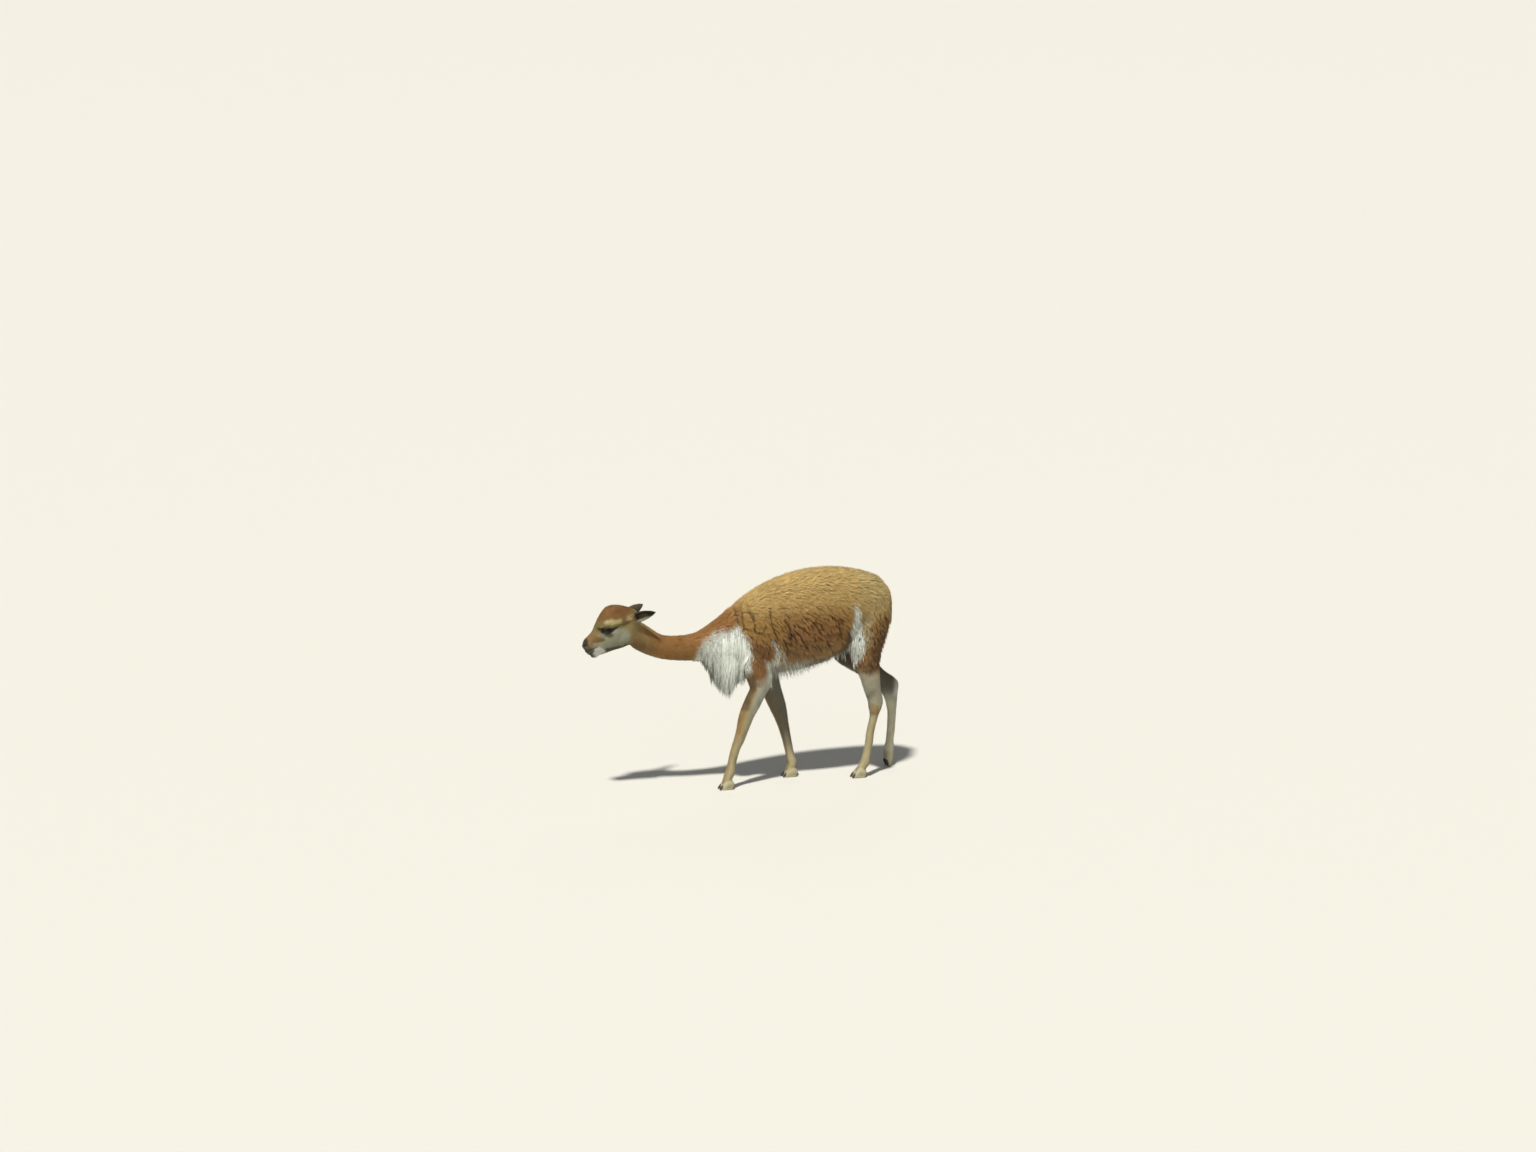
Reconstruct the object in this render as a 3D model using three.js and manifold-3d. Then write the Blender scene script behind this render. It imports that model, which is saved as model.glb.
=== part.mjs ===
// Adult vicuna, walking with its neck stretched forward and low: a life-size, still model.
// Millimetres, +Z up, floor at Z 0. The animal faces -X, and its left side is -Y.

import * as THREE from "three";
import { mergeVertices } from "three/addons/utils/BufferGeometryUtils.js";
import Module from "manifold-3d";

const wasm = await Module();
wasm.setup();

// Driving sizes

const cutGap = 0.34; // between two nodes that meet face to face
const fitGap = 0.5; // around a node that is set on another one's skin
const headPitch = THREE.MathUtils.degToRad(26.8); // how far the muzzle points down
const headZero = { x: -809, z: 742 }; // the head's own zero, between the roots of the ears
const eyeRadius = 16.5;
const earLength = 118;
const toeOffset = 12.5; // from the middle of a foot to the middle of one toe

// Repeatable scatter, 0 to 1
let seed = 4217;
function scatter() {
  seed = (seed * 16807) % 2147483647;
  return seed / 2147483647;
}
const between = (low, high) => low + (high - low) * scatter();
const vec = (x, y, z) => new THREE.Vector3(x, y, z);

// A ring of a body form: the two ends of its line in the side view, its half width, and how far it is off the midline
const ring = (ax, az, bx, bz, wide, y = 0, egg = 0) => ({ ax, az, bx, bz, wide, y, egg });

// A ring of a leg: its front and back edges at one height
const legRing = (front, back, height, wide, y) => ring(front, height, back, height, wide, y);

// A point of the head from its own zero: forward along the muzzle, up and across
function headPoint(forward, up, across = 0) {
  const x = headZero.x - forward * Math.cos(headPitch) - up * Math.sin(headPitch);
  const z = headZero.z - forward * Math.sin(headPitch) + up * Math.cos(headPitch);
  return vec(x, across, z);
}

function headRing(topForward, top, lowForward, low, wide, egg = 0) {
  const a = headPoint(topForward, top);
  const b = headPoint(lowForward, low);
  return ring(a.x, a.z, b.x, b.z, wide, 0, egg);
}

// Body and neck, rump to throat, out to the tips of the fleece
const trunkRings = [
  ring(310, 752, 306, 690, 44),
  ring(301, 808, 295, 612, 82),
  ring(266, 846, 258, 563, 104), // croup
  ring(196, 871, 188, 545, 119),
  ring(117, 887, 109, 521, 128),
  ring(37, 892, 29, 489, 133), // loin
  ring(-52, 886, -61, 470, 134),
  ring(-141, 865, -150, 462, 128), // ribs
  ring(-222, 836, -240, 465, 118),
  ring(-296, 793, -328, 478, 103), // shoulders
  ring(-374, 736, -402, 508, 84),
  ring(-431, 696, -465, 530, 67), // breast, and the root of the neck
  ring(-508, 657, -516, 536, 53),
  ring(-586, 648, -588, 541, 45),
  ring(-660, 658, -660, 553, 42),
  ring(-712, 692, -728, 577, 41),
  ring(-752, 722, -786, 609, 41),
  ring(-776, 736, -818, 640, 36), // inside the head
];

const tailRings = [
  ring(292, 806, 290, 774, 15),
  ring(318, 803, 305, 772, 20),
  ring(335, 781, 313, 762, 24),
  ring(346, 745, 320, 738, 27),
  ring(347, 704, 321, 702, 27),
  ring(343, 664, 321, 664, 23),
  ring(336, 632, 320, 633, 15),
];

const headRings = [
  headRing(-38, 14, -30, -60, 30), // back of the skull, inside the neck
  headRing(-17, 40, -4, -94, 43),
  headRing(17, 68, 32, -109, 50, 0.04), // poll, and the angle of the jaw
  headRing(50, 81, 64, -107, 52, 0.05),
  headRing(80, 71, 90, -101, 50, 0.06), // forehead
  headRing(106, 56, 112, -95, 45, 0.06), // level with the eyes
  headRing(130, 38, 135, -91, 38),
  headRing(154, 20, 157, -87, 32),
  headRing(178, 12, 178, -81, 28.5), // bridge of the muzzle
  headRing(198, 6, 196, -73, 26),
  headRing(210, -5, 208, -60, 21),
];

const foreLeftRings = [
  legRing(-330, -222, 600, 38, -58), // inside the shoulder
  legRing(-336, -208, 520, 40, -70),
  legRing(-322, -212, 462, 39, -77), // elbow
  legRing(-308, -222, 422, 35, -78),
  legRing(-326, -245, 378, 31, -77),
  legRing(-345, -267, 335, 28, -75),
  legRing(-355, -287, 301, 27, -73), // knee
  legRing(-359, -297, 277, 26.5, -71),
  legRing(-364, -310, 245, 23, -69),
  legRing(-375, -325, 205, 19.5, -67),
  legRing(-388, -346, 162, 18, -65), // cannon
  legRing(-400, -361, 108, 17.5, -63),
  legRing(-409, -366, 78, 20.5, -62), // fetlock
  legRing(-416, -372, 56, 22, -62),
  legRing(-422, -386, 32, 19, -62),
];

const foreRightRings = [
  legRing(-300, -200, 600, 38, 58),
  legRing(-282, -168, 520, 40, 70),
  legRing(-245, -138, 462, 39, 77),
  legRing(-220, -124, 416, 35, 78),
  legRing(-202, -113, 372, 31, 77),
  legRing(-185, -101, 329, 28, 74),
  legRing(-169, -93, 293, 27, 71),
  legRing(-157, -90, 268, 26.5, 68),
  legRing(-144, -87, 238, 23, 64),
  legRing(-132, -83, 203, 19.5, 59),
  legRing(-118, -76, 153, 18, 53),
  legRing(-106, -67, 100, 17.5, 48),
  legRing(-103, -59, 76, 20.5, 46),
  legRing(-100, -56, 56, 22, 45),
  legRing(-105, -66, 32, 19, 45),
];

const hindLeftRings = [
  legRing(158, 305, 770, 38, -60), // inside the rump
  legRing(140, 318, 700, 50, -70),
  legRing(130, 304, 618, 52, -76), // thigh
  legRing(126, 281, 556, 46, -79),
  legRing(140, 268, 500, 40, -80),
  legRing(160, 262, 462, 37, -79), // stifle
  legRing(178, 265, 424, 34, -78),
  legRing(196, 271, 370, 30, -75),
  legRing(213, 281, 326, 26, -73),
  legRing(217, 278, 299, 24, -72), // hock
  legRing(224, 262, 257, 20, -70),
  legRing(211, 247, 196, 17.5, -68),
  legRing(203, 240, 138, 16.5, -67),
  legRing(191, 231, 84, 19, -66),
  legRing(181, 228, 60, 21.5, -66), // fetlock
  legRing(168, 208, 33, 19, -66),
];

const hindRightRings = [
  ring(158, 770, 305, 770, 38, 60),
  ring(140, 700, 318, 700, 50, 70),
  ring(122, 618, 312, 618, 52, 76),
  ring(112, 556, 306, 560, 46, 79),
  ring(112, 512, 308, 520, 42, 80),
  ring(130, 474, 314, 488, 39, 80), // stifle
  ring(170, 442, 318, 458, 36, 79),
  ring(224, 408, 330, 432, 33, 78),
  ring(284, 361, 358, 405, 30, 76),
  ring(328, 321, 390, 383, 26, 75),
  ring(348, 289, 409, 357, 24, 75), // hock
  ring(357, 260, 406, 303, 21, 75),
  ring(362, 228, 402, 235, 18, 75),
  ring(360, 158, 397, 158, 16.5, 75),
  ring(356, 110, 391, 106, 18, 75),
  ring(351, 88, 393, 82, 21, 75), // fetlock
  ring(351, 64, 391, 57, 21, 75),
  ring(353, 40, 384, 34, 18, 75),
];

// Smooth value between the middle two of four neighbours
function through(p0, p1, p2, p3, t) {
  const rise = 2 * p1 + (p2 - p0) * t;
  const bend = (2 * p0 - 5 * p1 + 4 * p2 - p3) * t * t;
  const turn = (3 * p1 - p0 - 3 * p2 + p3) * t * t * t;
  return 0.5 * (rise + bend + turn);
}

// A body form: rounded rings under one smooth skin
class Form {
  constructor(rings, grow = 0) {
    this.rings = rings;
    this.grow = grow;
    this.last = rings.length - 1;
  }

  ringAt(t) {
    const i = THREE.MathUtils.clamp(Math.floor(t), 0, this.last - 1);
    const four = [i - 1, i, i + 1, i + 2].map((k) => this.rings[THREE.MathUtils.clamp(k, 0, this.last)]);
    const made = {};
    for (const key of Object.keys(four[1])) made[key] = through(...four.map((r) => r[key]), t - i);
    return made;
  }

  // The point of ring t at an angle: 0 is the +Y side, and a quarter turn on is the first end of the ring's line.
  point(t, angle, share = 1) {
    const r = this.ringAt(t);
    const half = vec((r.ax - r.bx) / 2, 0, (r.az - r.bz) / 2);
    const size = half.length();
    const across = (r.wide + this.grow) * (1 - r.egg * Math.sin(angle)) * Math.cos(angle) * share;
    half.multiplyScalar(((size + this.grow) / size) * Math.sin(angle) * share);
    return vec((r.ax + r.bx) / 2, r.y + across, (r.az + r.bz) / 2).add(half);
  }

  normal(t, angle) {
    const along = this.point(Math.min(t + 0.05, this.last), angle).sub(this.point(Math.max(t - 0.05, 0), angle));
    const around = this.point(t, angle + 0.05).sub(this.point(t, angle - 0.05));
    const out = along.cross(around).normalize();
    return out.dot(this.point(t, angle).sub(this.point(t, angle, 0))) < 0 ? out.negate() : out;
  }

  row(t, sides, share = 1, shift = vec(0, 0, 0)) {
    return Array.from({ length: sides }, (_, k) => this.point(t, (k / sides) * 2 * Math.PI, share).add(shift));
  }

  // The closed solid, with a dome on each end
  solid(sides, steps, firstDome = 8, lastDome = 8) {
    const middle = (t) => this.point(t, 0, 0);
    const dome = (t, toward, height) => {
      const out = middle(t).sub(middle(toward)).normalize();
      const lift = (share) => out.clone().multiplyScalar(share * (height + this.grow));
      const steps = height > 4 ? [0.4, 0.78] : [];
      const rows = steps.map((s) => this.row(t, sides, Math.sqrt(1 - s * s), lift(s)));
      return { rows, tip: middle(t).add(lift(1)) };
    };
    const first = dome(0, 0.1, firstDome);
    const last = dome(this.last, this.last - 0.1, lastDome);
    const count = this.last * steps;
    const middleRows = Array.from({ length: count + 1 }, (_, i) => this.row(i / steps, sides));
    return closedSkin([...first.rows.reverse(), ...middleRows, ...last.rows], first.tip, last.tip);
  }
}

// The closed solid of rows of points, with a tip beyond the first row and one beyond the last
function closedSkin(rows, firstTip, lastTip) {
  const sides = rows[0].length;
  const points = [...rows.flat(), firstTip, lastTip];
  const faces = [];
  for (let j = 0; j < rows.length - 1; j++) {
    for (let k = 0; k < sides; k++) {
      const a = j * sides + k;
      const b = j * sides + ((k + 1) % sides);
      faces.push([a, b, b + sides], [a, b + sides, a + sides]);
    }
  }
  const top = (rows.length - 1) * sides;
  for (let k = 0; k < sides; k++) {
    faces.push([(k + 1) % sides, k, points.length - 2]);
    faces.push([top + k, top + ((k + 1) % sides), points.length - 1]);
  }
  return solidOf(points, faces);
}

// A solid of points and triangles, turned to face outwards
function solidOf(points, faces) {
  const vertProperties = new Float32Array(points.flatMap((p) => [p.x, p.y, p.z]));
  const make = (list) => {
    const triVerts = new Uint32Array(list.flat());
    return new wasm.Manifold(new wasm.Mesh({ numProp: 3, vertProperties, triVerts }));
  };
  const made = make(faces);
  return made.volume() > 0 ? made : make(faces.map(([a, b, c]) => [a, c, b]));
}

// A three.js shape as a solid, set in place by a matrix
function solidFrom(shape, matrix) {
  shape.deleteAttribute("normal");
  shape.deleteAttribute("uv");
  const merged = mergeVertices(shape.applyMatrix4(matrix), 1e-4);
  const at = merged.getAttribute("position");
  const points = Array.from({ length: at.count }, (_, i) => vec(0, 0, 0).fromBufferAttribute(at, i));
  const list = Array.from(merged.getIndex().array);
  const faces = [];
  for (let i = 0; i < list.length; i += 3) {
    const [a, b, c] = list.slice(i, i + 3);
    if (a !== b && b !== c && c !== a) faces.push([a, b, c]);
  }
  return solidOf(points, faces);
}

// Three directions and a place, as a matrix
function frame(x, y, z, centre, scale = [1, 1, 1]) {
  return new THREE.Matrix4().makeBasis(x, y, z).scale(vec(...scale)).setPosition(centre);
}

const right = vec(1, 0, 0);
const left = vec(0, 1, 0);
const up = vec(0, 0, 1);

function ball(centre, radii, sides = 12, rows = 8) {
  return solidFrom(new THREE.SphereGeometry(1, sides, rows), frame(right, left, up, centre, radii));
}

// A ball on the head: radii along the muzzle, across it and up, and how far it leans nose down
function headBall(forward, rise, across, radii, lean = 0, sides = 12, rows = 8) {
  const pitch = headPitch + THREE.MathUtils.degToRad(lean);
  const ahead = vec(-Math.cos(pitch), 0, -Math.sin(pitch));
  const above = vec(-Math.sin(pitch), 0, Math.cos(pitch));
  const side = above.clone().cross(ahead);
  const place = frame(ahead, side, above, headPoint(forward, rise, across), radii);
  return solidFrom(new THREE.SphereGeometry(1, sides, rows), place);
}

// A thin cut along a line of the side view, a little past both of its ends
function blade(ax, az, bx, bz, { across = 300, y = 0, past = 4, thick = cutGap } = {}) {
  const run = vec(bx - ax, 0, bz - az);
  const long = run.length() + 2 * past;
  const along = run.normalize();
  const place = frame(along, left, along.clone().cross(left), vec((ax + bx) / 2, y, (az + bz) / 2));
  return solidFrom(new THREE.BoxGeometry(long, across, thick), place);
}

function headBlade(forwardA, upA, forwardB, upB, options) {
  const a = headPoint(forwardA, upA);
  const b = headPoint(forwardB, upB);
  return blade(a.x, a.z, b.x, b.z, options);
}

const join = (solids) => wasm.Manifold.union(solids);
const largest = (solid) => solid.decompose().reduce((a, b) => (a.volume() > b.volume() ? a : b));

// Everything under the floor, for flat soles
const underFloor = solidFrom(new THREE.BoxGeometry(2400, 800, 100), frame(right, left, up, vec(0, 0, -50)));

const trunk = new Form(trunkRings);
const head = new Form(headRings);
const legs = {
  fore_left: new Form(foreLeftRings),
  fore_right: new Form(foreRightRings),
  hind_left: new Form(hindLeftRings),
  hind_right: new Form(hindRightRings),
};

// Toes, nails and the soft pads under them. A flat foot is laid out by the distance back from its nails.
const toeShape = [
  [62, 28, 5, 8.5],
  [52, 44, -4, 12],
  [36, 44, -4, 12.6],
  [20, 31, -4, 11.6],
  [10, 19, -2, 8],
];
const nailShape = [
  [20, 25, 10, 6.4],
  [10, 19, 4.5, 5.4],
  [2, 8.5, 1.4, 2.8],
];
const raisedToe = [
  [353, 386, 64, 12],
  [351, 387, 46, 12.6],
  [353, 384, 28, 12],
  [358, 380, 12, 9.5],
  [362, 375, -3, 6.5],
];
const raisedNail = [
  [349, 361, 27, 6.2],
  [352, 363, 14, 5.2],
  [358, 364, 2.5, 3],
];

function flatFoot(tip, y) {
  const lay = (rows, at) => rows.map(([back, top, low, wide]) => ring(tip + back, top, tip + back, low, wide, at));
  return [-1, 1].map((side) => ({
    toe: new Form(lay(toeShape, y + side * toeOffset)).solid(8, 1, 3, 2),
    nail: new Form(lay(nailShape, y + side * toeOffset)).solid(6, 1, 1, 1),
    nailRoom: new Form(lay(nailShape, y + side * toeOffset), 0.4).solid(6, 1, 1, 1),
  }));
}

function tipToe(y) {
  const lay = (rows, at) => rows.map(([front, back, height, wide]) => legRing(front, back, height, wide, at));
  return [-1, 1].map((side) => ({
    toe: new Form(lay(raisedToe, y + side * toeOffset)).solid(8, 1, 3, 2),
    nail: new Form(lay(raisedNail, y + side * toeOffset)).solid(6, 1, 1, 1),
    nailRoom: new Form(lay(raisedNail, y + side * toeOffset), 0.4).solid(6, 1, 1, 1),
  }));
}

const feet = {
  fore_left: flatFoot(-438, -62),
  fore_right: flatFoot(-122, 45),
  hind_left: flatFoot(144, -66),
  hind_right: tipToe(75),
};

// Head: cheeks, brows, lips and chin over the skull, eyelids round the sockets, slits for the nostrils
const eyeAt = { forward: 106, rise: 3, across: 33 };
const bothSides = (make) => [-1, 1].map(make);

const headParts = [
  head.solid(18, 2, 6, 6),
  headBall(184, -70, 0, [22, 18, 15], 0, 10, 6), // chin
  ...bothSides((s) => headBall(52, -58, s * 25, [46, 28, 42], 0, 10, 6)), // cheek
  ...bothSides((s) => headBall(98, 26, s * 31, [34, 15, 12], 8, 8, 6)), // brow
  ...bothSides((s) => headBall(200, -21, s * 12, [19, 14, 14], 10, 10, 6)), // upper lip
  ...bothSides((s) => headBall(eyeAt.forward, eyeAt.rise, s * eyeAt.across, [20, 20, 19], 0, 10, 8)), // lids
];
const eyes = bothSides((s) => {
  const at = [eyeAt.forward, eyeAt.rise, s * eyeAt.across];
  const size = (grow) => [eyeRadius + grow, eyeRadius + grow, eyeRadius + grow];
  return {
    ball: headBall(...at, size(0), 0, 12, 8),
    room: headBall(...at, size(1.35), 0, 12, 8),
    opening: headBall(at[0], at[1], s * (eyeAt.across + 17), [15.5, 16, 8.6], 0, 12, 6),
  };
});
const nostrils = bothSides((s) => headBall(208, -14, s * 15, [9, 5, 3.4], 32, 6, 4));
const lipSplit = headBall(222, -34, 0, [9, 1.6, 17], 4, 6, 4);

// Ears: long leaves laid back beside the neck, hollow on their outer side
const earOutline = [
  [0, 0], [15, 4], [20.5, 14], [24.5, 32], [24.5, 52], [21, 72], [15, 92], [7.5, 108], [0, 118],
];
const earHollow = [
  [0, 20], [10.5, 24], [17.5, 38], [19, 56], [16, 76], [9.5, 94], [0, 108],
];

function ear(side) {
  const tip = vec(-706, side * 86, 771);
  const along = vec(103, side * 50, 36).normalize();
  const open = vec(-0.18, side, -0.12);
  open.addScaledVector(along, -open.dot(along)).normalize();
  const wide = along.clone().cross(open);
  const root = tip.clone().addScaledVector(along, -earLength);
  const turned = (outline, sides) => new THREE.LatheGeometry(outline.map(([r, y]) => new THREE.Vector2(r, y)), sides);
  const leaf = solidFrom(turned(earOutline, 10), frame(wide, along, open, root, [1, 1, 0.6]));
  const hollowAt = root.clone().addScaledVector(open, 8.5);
  const hollow = solidFrom(turned(earHollow, 8), frame(wide, along, open, hollowAt, [1, 1, 0.72]));
  return leaf.subtract(hollow);
}

// Hair: flat tapered locks and rounded clumps, rooted in the skin

// A lock along a path whose first and last points are its tips; its flat side lies along the given direction.
function lock(path, wide, thick, flatSide, sides = 4) {
  const inner = path.slice(1, -1);
  const fullness = [0.78, 1, 0.72];
  const rows = inner.map((point, i) => {
    const along = path[i + 2].clone().sub(path[i]).normalize();
    const flat = flatSide.clone().addScaledVector(along, -flatSide.dot(along)).normalize();
    const face = along.clone().cross(flat);
    return Array.from({ length: sides }, (_, k) => {
      const turn = (k / sides) * 2 * Math.PI;
      const across = (Math.cos(turn) * fullness[i] * wide) / 2;
      const through = (Math.sin(turn) * fullness[i] * thick) / 2;
      return point.clone().addScaledVector(flat, across).addScaledVector(face, through);
    });
  });
  return closedSkin(rows, path[0], path[path.length - 1]);
}

// An angle round a form from its height angle in degrees (0 level, -90 underneath) on one side of the body
const roundAt = (side, degrees) => {
  const turn = THREE.MathUtils.degToRad(degrees);
  return side > 0 ? turn : Math.PI - turn;
};

// A lock that leaves the skin and hangs to its tip
function hangingLock(form, t, angle, tip, wide, thick, lift = 12) {
  const root = form.point(t, angle);
  const out = form.normal(t, angle);
  const knee = root.clone().addScaledVector(out, lift).lerp(tip, 0.3);
  const bend = (u) => root.clone().multiplyScalar((1 - u) ** 2)
    .addScaledVector(knee, 2 * u * (1 - u))
    .addScaledVector(tip, u * u);
  const sunk = root.clone().addScaledVector(out, -9);
  const level = out.clone().cross(up);
  const flatSide = level.length() > 0.35 ? level.normalize() : vec(between(-0.6, 0.6), 1, 0).normalize();
  return lock([sunk, bend(0.07), bend(0.4), bend(0.74), tip], wide, thick, flatSide);
}

// A clump that lies on the skin, from ring t and a height angle on towards its tip
function lyingClump(form, side, t, degrees, back, down, wide, thick) {
  const lifts = [-8, 3, 5, 4, -1];
  const path = lifts.map((lift, i) => {
    const share = i / (lifts.length - 1);
    const angle = roundAt(side, degrees - down * share);
    return form.point(t - back * share, angle).addScaledVector(form.normal(t - back * share, angle), lift);
  });
  const out = form.normal(t, roundAt(side, degrees));
  const along = path[4].clone().sub(path[0]).normalize();
  return lock(path, wide, thick, along.cross(out).normalize(), 6);
}

// The bib's lower edge in the side view, front to back
const bibEdge = [
  [-496, 530], [-462, 500], [-437, 468], [-420, 428], [-396, 400], [-362, 377], [-326, 384], [-300, 412],
];

function bibTipHeight(x) {
  const after = THREE.MathUtils.clamp(bibEdge.findIndex(([at]) => at > x), 1, bibEdge.length - 1);
  const [[x0, z0], [x1, z1]] = [bibEdge[after - 1], bibEdge[after]];
  return THREE.MathUtils.mapLinear(THREE.MathUtils.clamp(x, x0, x1), x0, x1, z0, z1);
}

// Rows of the bib: height angle, first and last ring, locks on a side, and the drop of a lock that doesn't reach the edge
const bibRows = [
  { degrees: -8, from: 9.2, to: 11.3, count: 4, drop: 112 },
  { degrees: -36, from: 9.35, to: 11.7, count: 6 },
  { degrees: -64, from: 9.3, to: 11.8, count: 6 },
];

function bibLock(side, degrees, t, drop) {
  const angle = roundAt(side, degrees);
  const root = trunk.point(t, angle);
  const x = root.x + between(2, 10);
  const edge = bibTipHeight(x) + between(0, 14);
  const z = drop ? Math.max(root.z - drop + between(-10, 10), edge) : edge;
  const tip = vec(x, root.y * 0.86, Math.min(z, root.z - 26));
  return hangingLock(trunk, t, angle, tip, between(36, 44), between(8, 10));
}

const bibLocks = [];
for (const { degrees, from, to, count, drop } of bibRows) {
  for (const side of [-1, 1]) {
    for (let i = 0; i < count; i++) {
      const t = THREE.MathUtils.lerp(from, to, (i + between(0.2, 0.8)) / count);
      bibLocks.push(bibLock(side, degrees + between(-5, 5), t, drop));
    }
  }
}
const bibTopCount = 2;
for (const side of [-1, 1]) {
  for (let i = 0; i < bibTopCount; i++) {
    const t = THREE.MathUtils.lerp(9.5, 10.2, i / (bibTopCount - 1));
    bibLocks.push(lyingClump(trunk, side, t, 24 - 6 * i, 0.08, 44, between(52, 56), 11));
  }
}
const bibMiddleCount = 6;
for (let i = 0; i < bibMiddleCount; i++) {
  bibLocks.push(bibLock(1, -90 + between(-4, 4), THREE.MathUtils.lerp(8.7, 11.9, (i + 0.5) / bibMiddleCount)));
}

// Fringe under the belly, clear of the right foreleg
const fringeCount = 8;
const fringe = [];
for (let i = 0; i < fringeCount; i++) {
  const t = THREE.MathUtils.lerp(4.3, 7.7, i / (fringeCount - 1));
  const side = i % 2 && t < 6.3 ? 1 : -1;
  const angle = roundAt(side, -76 + between(-5, 5));
  const root = trunk.point(t, angle);
  const tip = vec(root.x + 20, root.y * 1.02, root.z - between(28, 36));
  fringe.push(hangingLock(trunk, t, angle, tip, between(30, 36), 9, 4));
}

// Clumps of the fleece: flank and shoulder
const clumpPatches = [
  { degrees: [26, 0, -26], from: 4.5, to: 8, count: 3 },
  { degrees: [20, -6], from: 8.25, to: 9.05, count: 1 },
];
const clumps = [];
for (const { degrees, from, to, count } of clumpPatches) {
  for (const side of [-1, 1]) {
    degrees.forEach((row, r) => {
      for (let i = 0; i < count; i++) {
        const t = THREE.MathUtils.lerp(from, to, (i + 0.3 + 0.4 * (r % 2) + between(-0.1, 0.1)) / count);
        clumps.push(lyingClump(trunk, side, t, row + between(-3, 3), 0.5, 31, between(100, 114), 17));
      }
    });
  }
}

const legRoom = join([
  new Form(foreLeftRings.slice(2), fitGap).solid(12, 1),
  new Form(foreRightRings.slice(2), fitGap).solid(12, 1),
]);
const bib = join(bibLocks).subtract(legRoom);

// Flesh in one piece, then parted by thin cuts
const flesh = join([
  trunk.solid(20, 2, 6, 10),
  ...headParts,
  legs.fore_left.solid(12, 1),
  legs.fore_right.solid(12, 1),
  legs.hind_left.solid(12, 1),
  legs.hind_right.solid(12, 1),
  ...Object.values(feet).flat().map((foot) => foot.toe),
  bib,
  ...fringe,
  ...clumps,
]);

const mouthGroove = headBlade(232, -33.4, 150, -41.2, { across: 90, past: 0, thick: 2.6 }).subtract(
  new Form(headRings, -3.5).solid(18, 1, 6, 6),
);

const cuts = [
  blade(-381, 741, -508, 527), // root of the neck
  blade(-757, 732, -808, 602, { across: 110, past: 6 }), // behind the head
  blade(-215, 870, -215, 439.9, { past: 0 }), // behind the shoulders
  blade(142, 900, 95, 500), // in front of the hips
  blade(98, 508, 334, 577, { past: 0 }), // under the hips
  headBlade(236, -33, 58, -50, { across: 130, past: 0 }), // mouth, and the root of the jaw
  headBlade(58, -50, 46, -128, { across: 130, past: 0.2 }),
  blade(-316, 440, -214, 440, { across: 82, y: -78 }), // elbows
  blade(-236, 440, -126, 440, { across: 82, y: 78 }),
  blade(158, 440, 280, 440, { across: 96, y: -79 }), // stifles
  blade(158, 440, 326, 440, { across: 96, y: 79 }),
  blade(-425, 84, -350, 84, { across: 60, y: -62 }), // fetlocks
  blade(-115, 84, -48, 84, { across: 60, y: 46 }),
  blade(180, 84, 244, 84, { across: 60, y: -66 }),
  blade(342, 112, 404, 112, { across: 60, y: 75 }),
];

const rooms = [
  ...eyes.flatMap((eye) => [eye.room, eye.opening]),
  ...Object.values(feet).flat().map((foot) => foot.nailRoom),
  ...nostrils,
  lipSplit,
  mouthGroove,
  ...cuts,
  underFloor,
];

const parted = flesh.subtract(join(rooms)).decompose();

// Each parted piece goes by the name of the place nearest to its middle.
const places = {
  head: headPoint(80, -10),
  lower_jaw: headPoint(140, -72),
  neck: vec(-610, 0, 610),
  chest: vec(-310, 0, 640),
  torso: vec(-55, 0, 675),
  rump: vec(210, 0, 720),
  thigh_left: vec(210, -78, 500),
  thigh_right: vec(215, 78, 500),
  foreleg_left: vec(-345, -70, 260),
  foreleg_right: vec(-140, 65, 260),
  hindleg_left: vec(227, -72, 270),
  hindleg_right: vec(350, 76, 290),
  foot_fore_left: vec(-400, -62, 40),
  foot_fore_right: vec(-85, 45, 40),
  foot_hind_left: vec(190, -66, 40),
  foot_hind_right: vec(370, 75, 55),
};

function middleOf(solid) {
  const { min, max } = solid.boundingBox();
  return vec((min[0] + max[0]) / 2, (min[1] + max[1]) / 2, (min[2] + max[2]) / 2);
}

const pieces = new Map();
for (const piece of parted.filter((p) => p.volume() > 400)) {
  const middle = middleOf(piece);
  const name = Object.keys(places).reduce((a, b) =>
    places[a].distanceTo(middle) < places[b].distanceTo(middle) ? a : b,
  );
  if (!pieces.has(name) || pieces.get(name).volume() < piece.volume()) pieces.set(name, piece);
}

// Ears and tail stand on the skin with a fine gap under them.
const skinRoom = join([new Form(headRings, fitGap).solid(18, 2, 6, 6), new Form(trunkRings, fitGap).solid(20, 2, 6, 10)]);
pieces.set("ear_left", largest(ear(-1).subtract(skinRoom)));
pieces.set("ear_right", largest(ear(1).subtract(skinRoom)));
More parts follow.
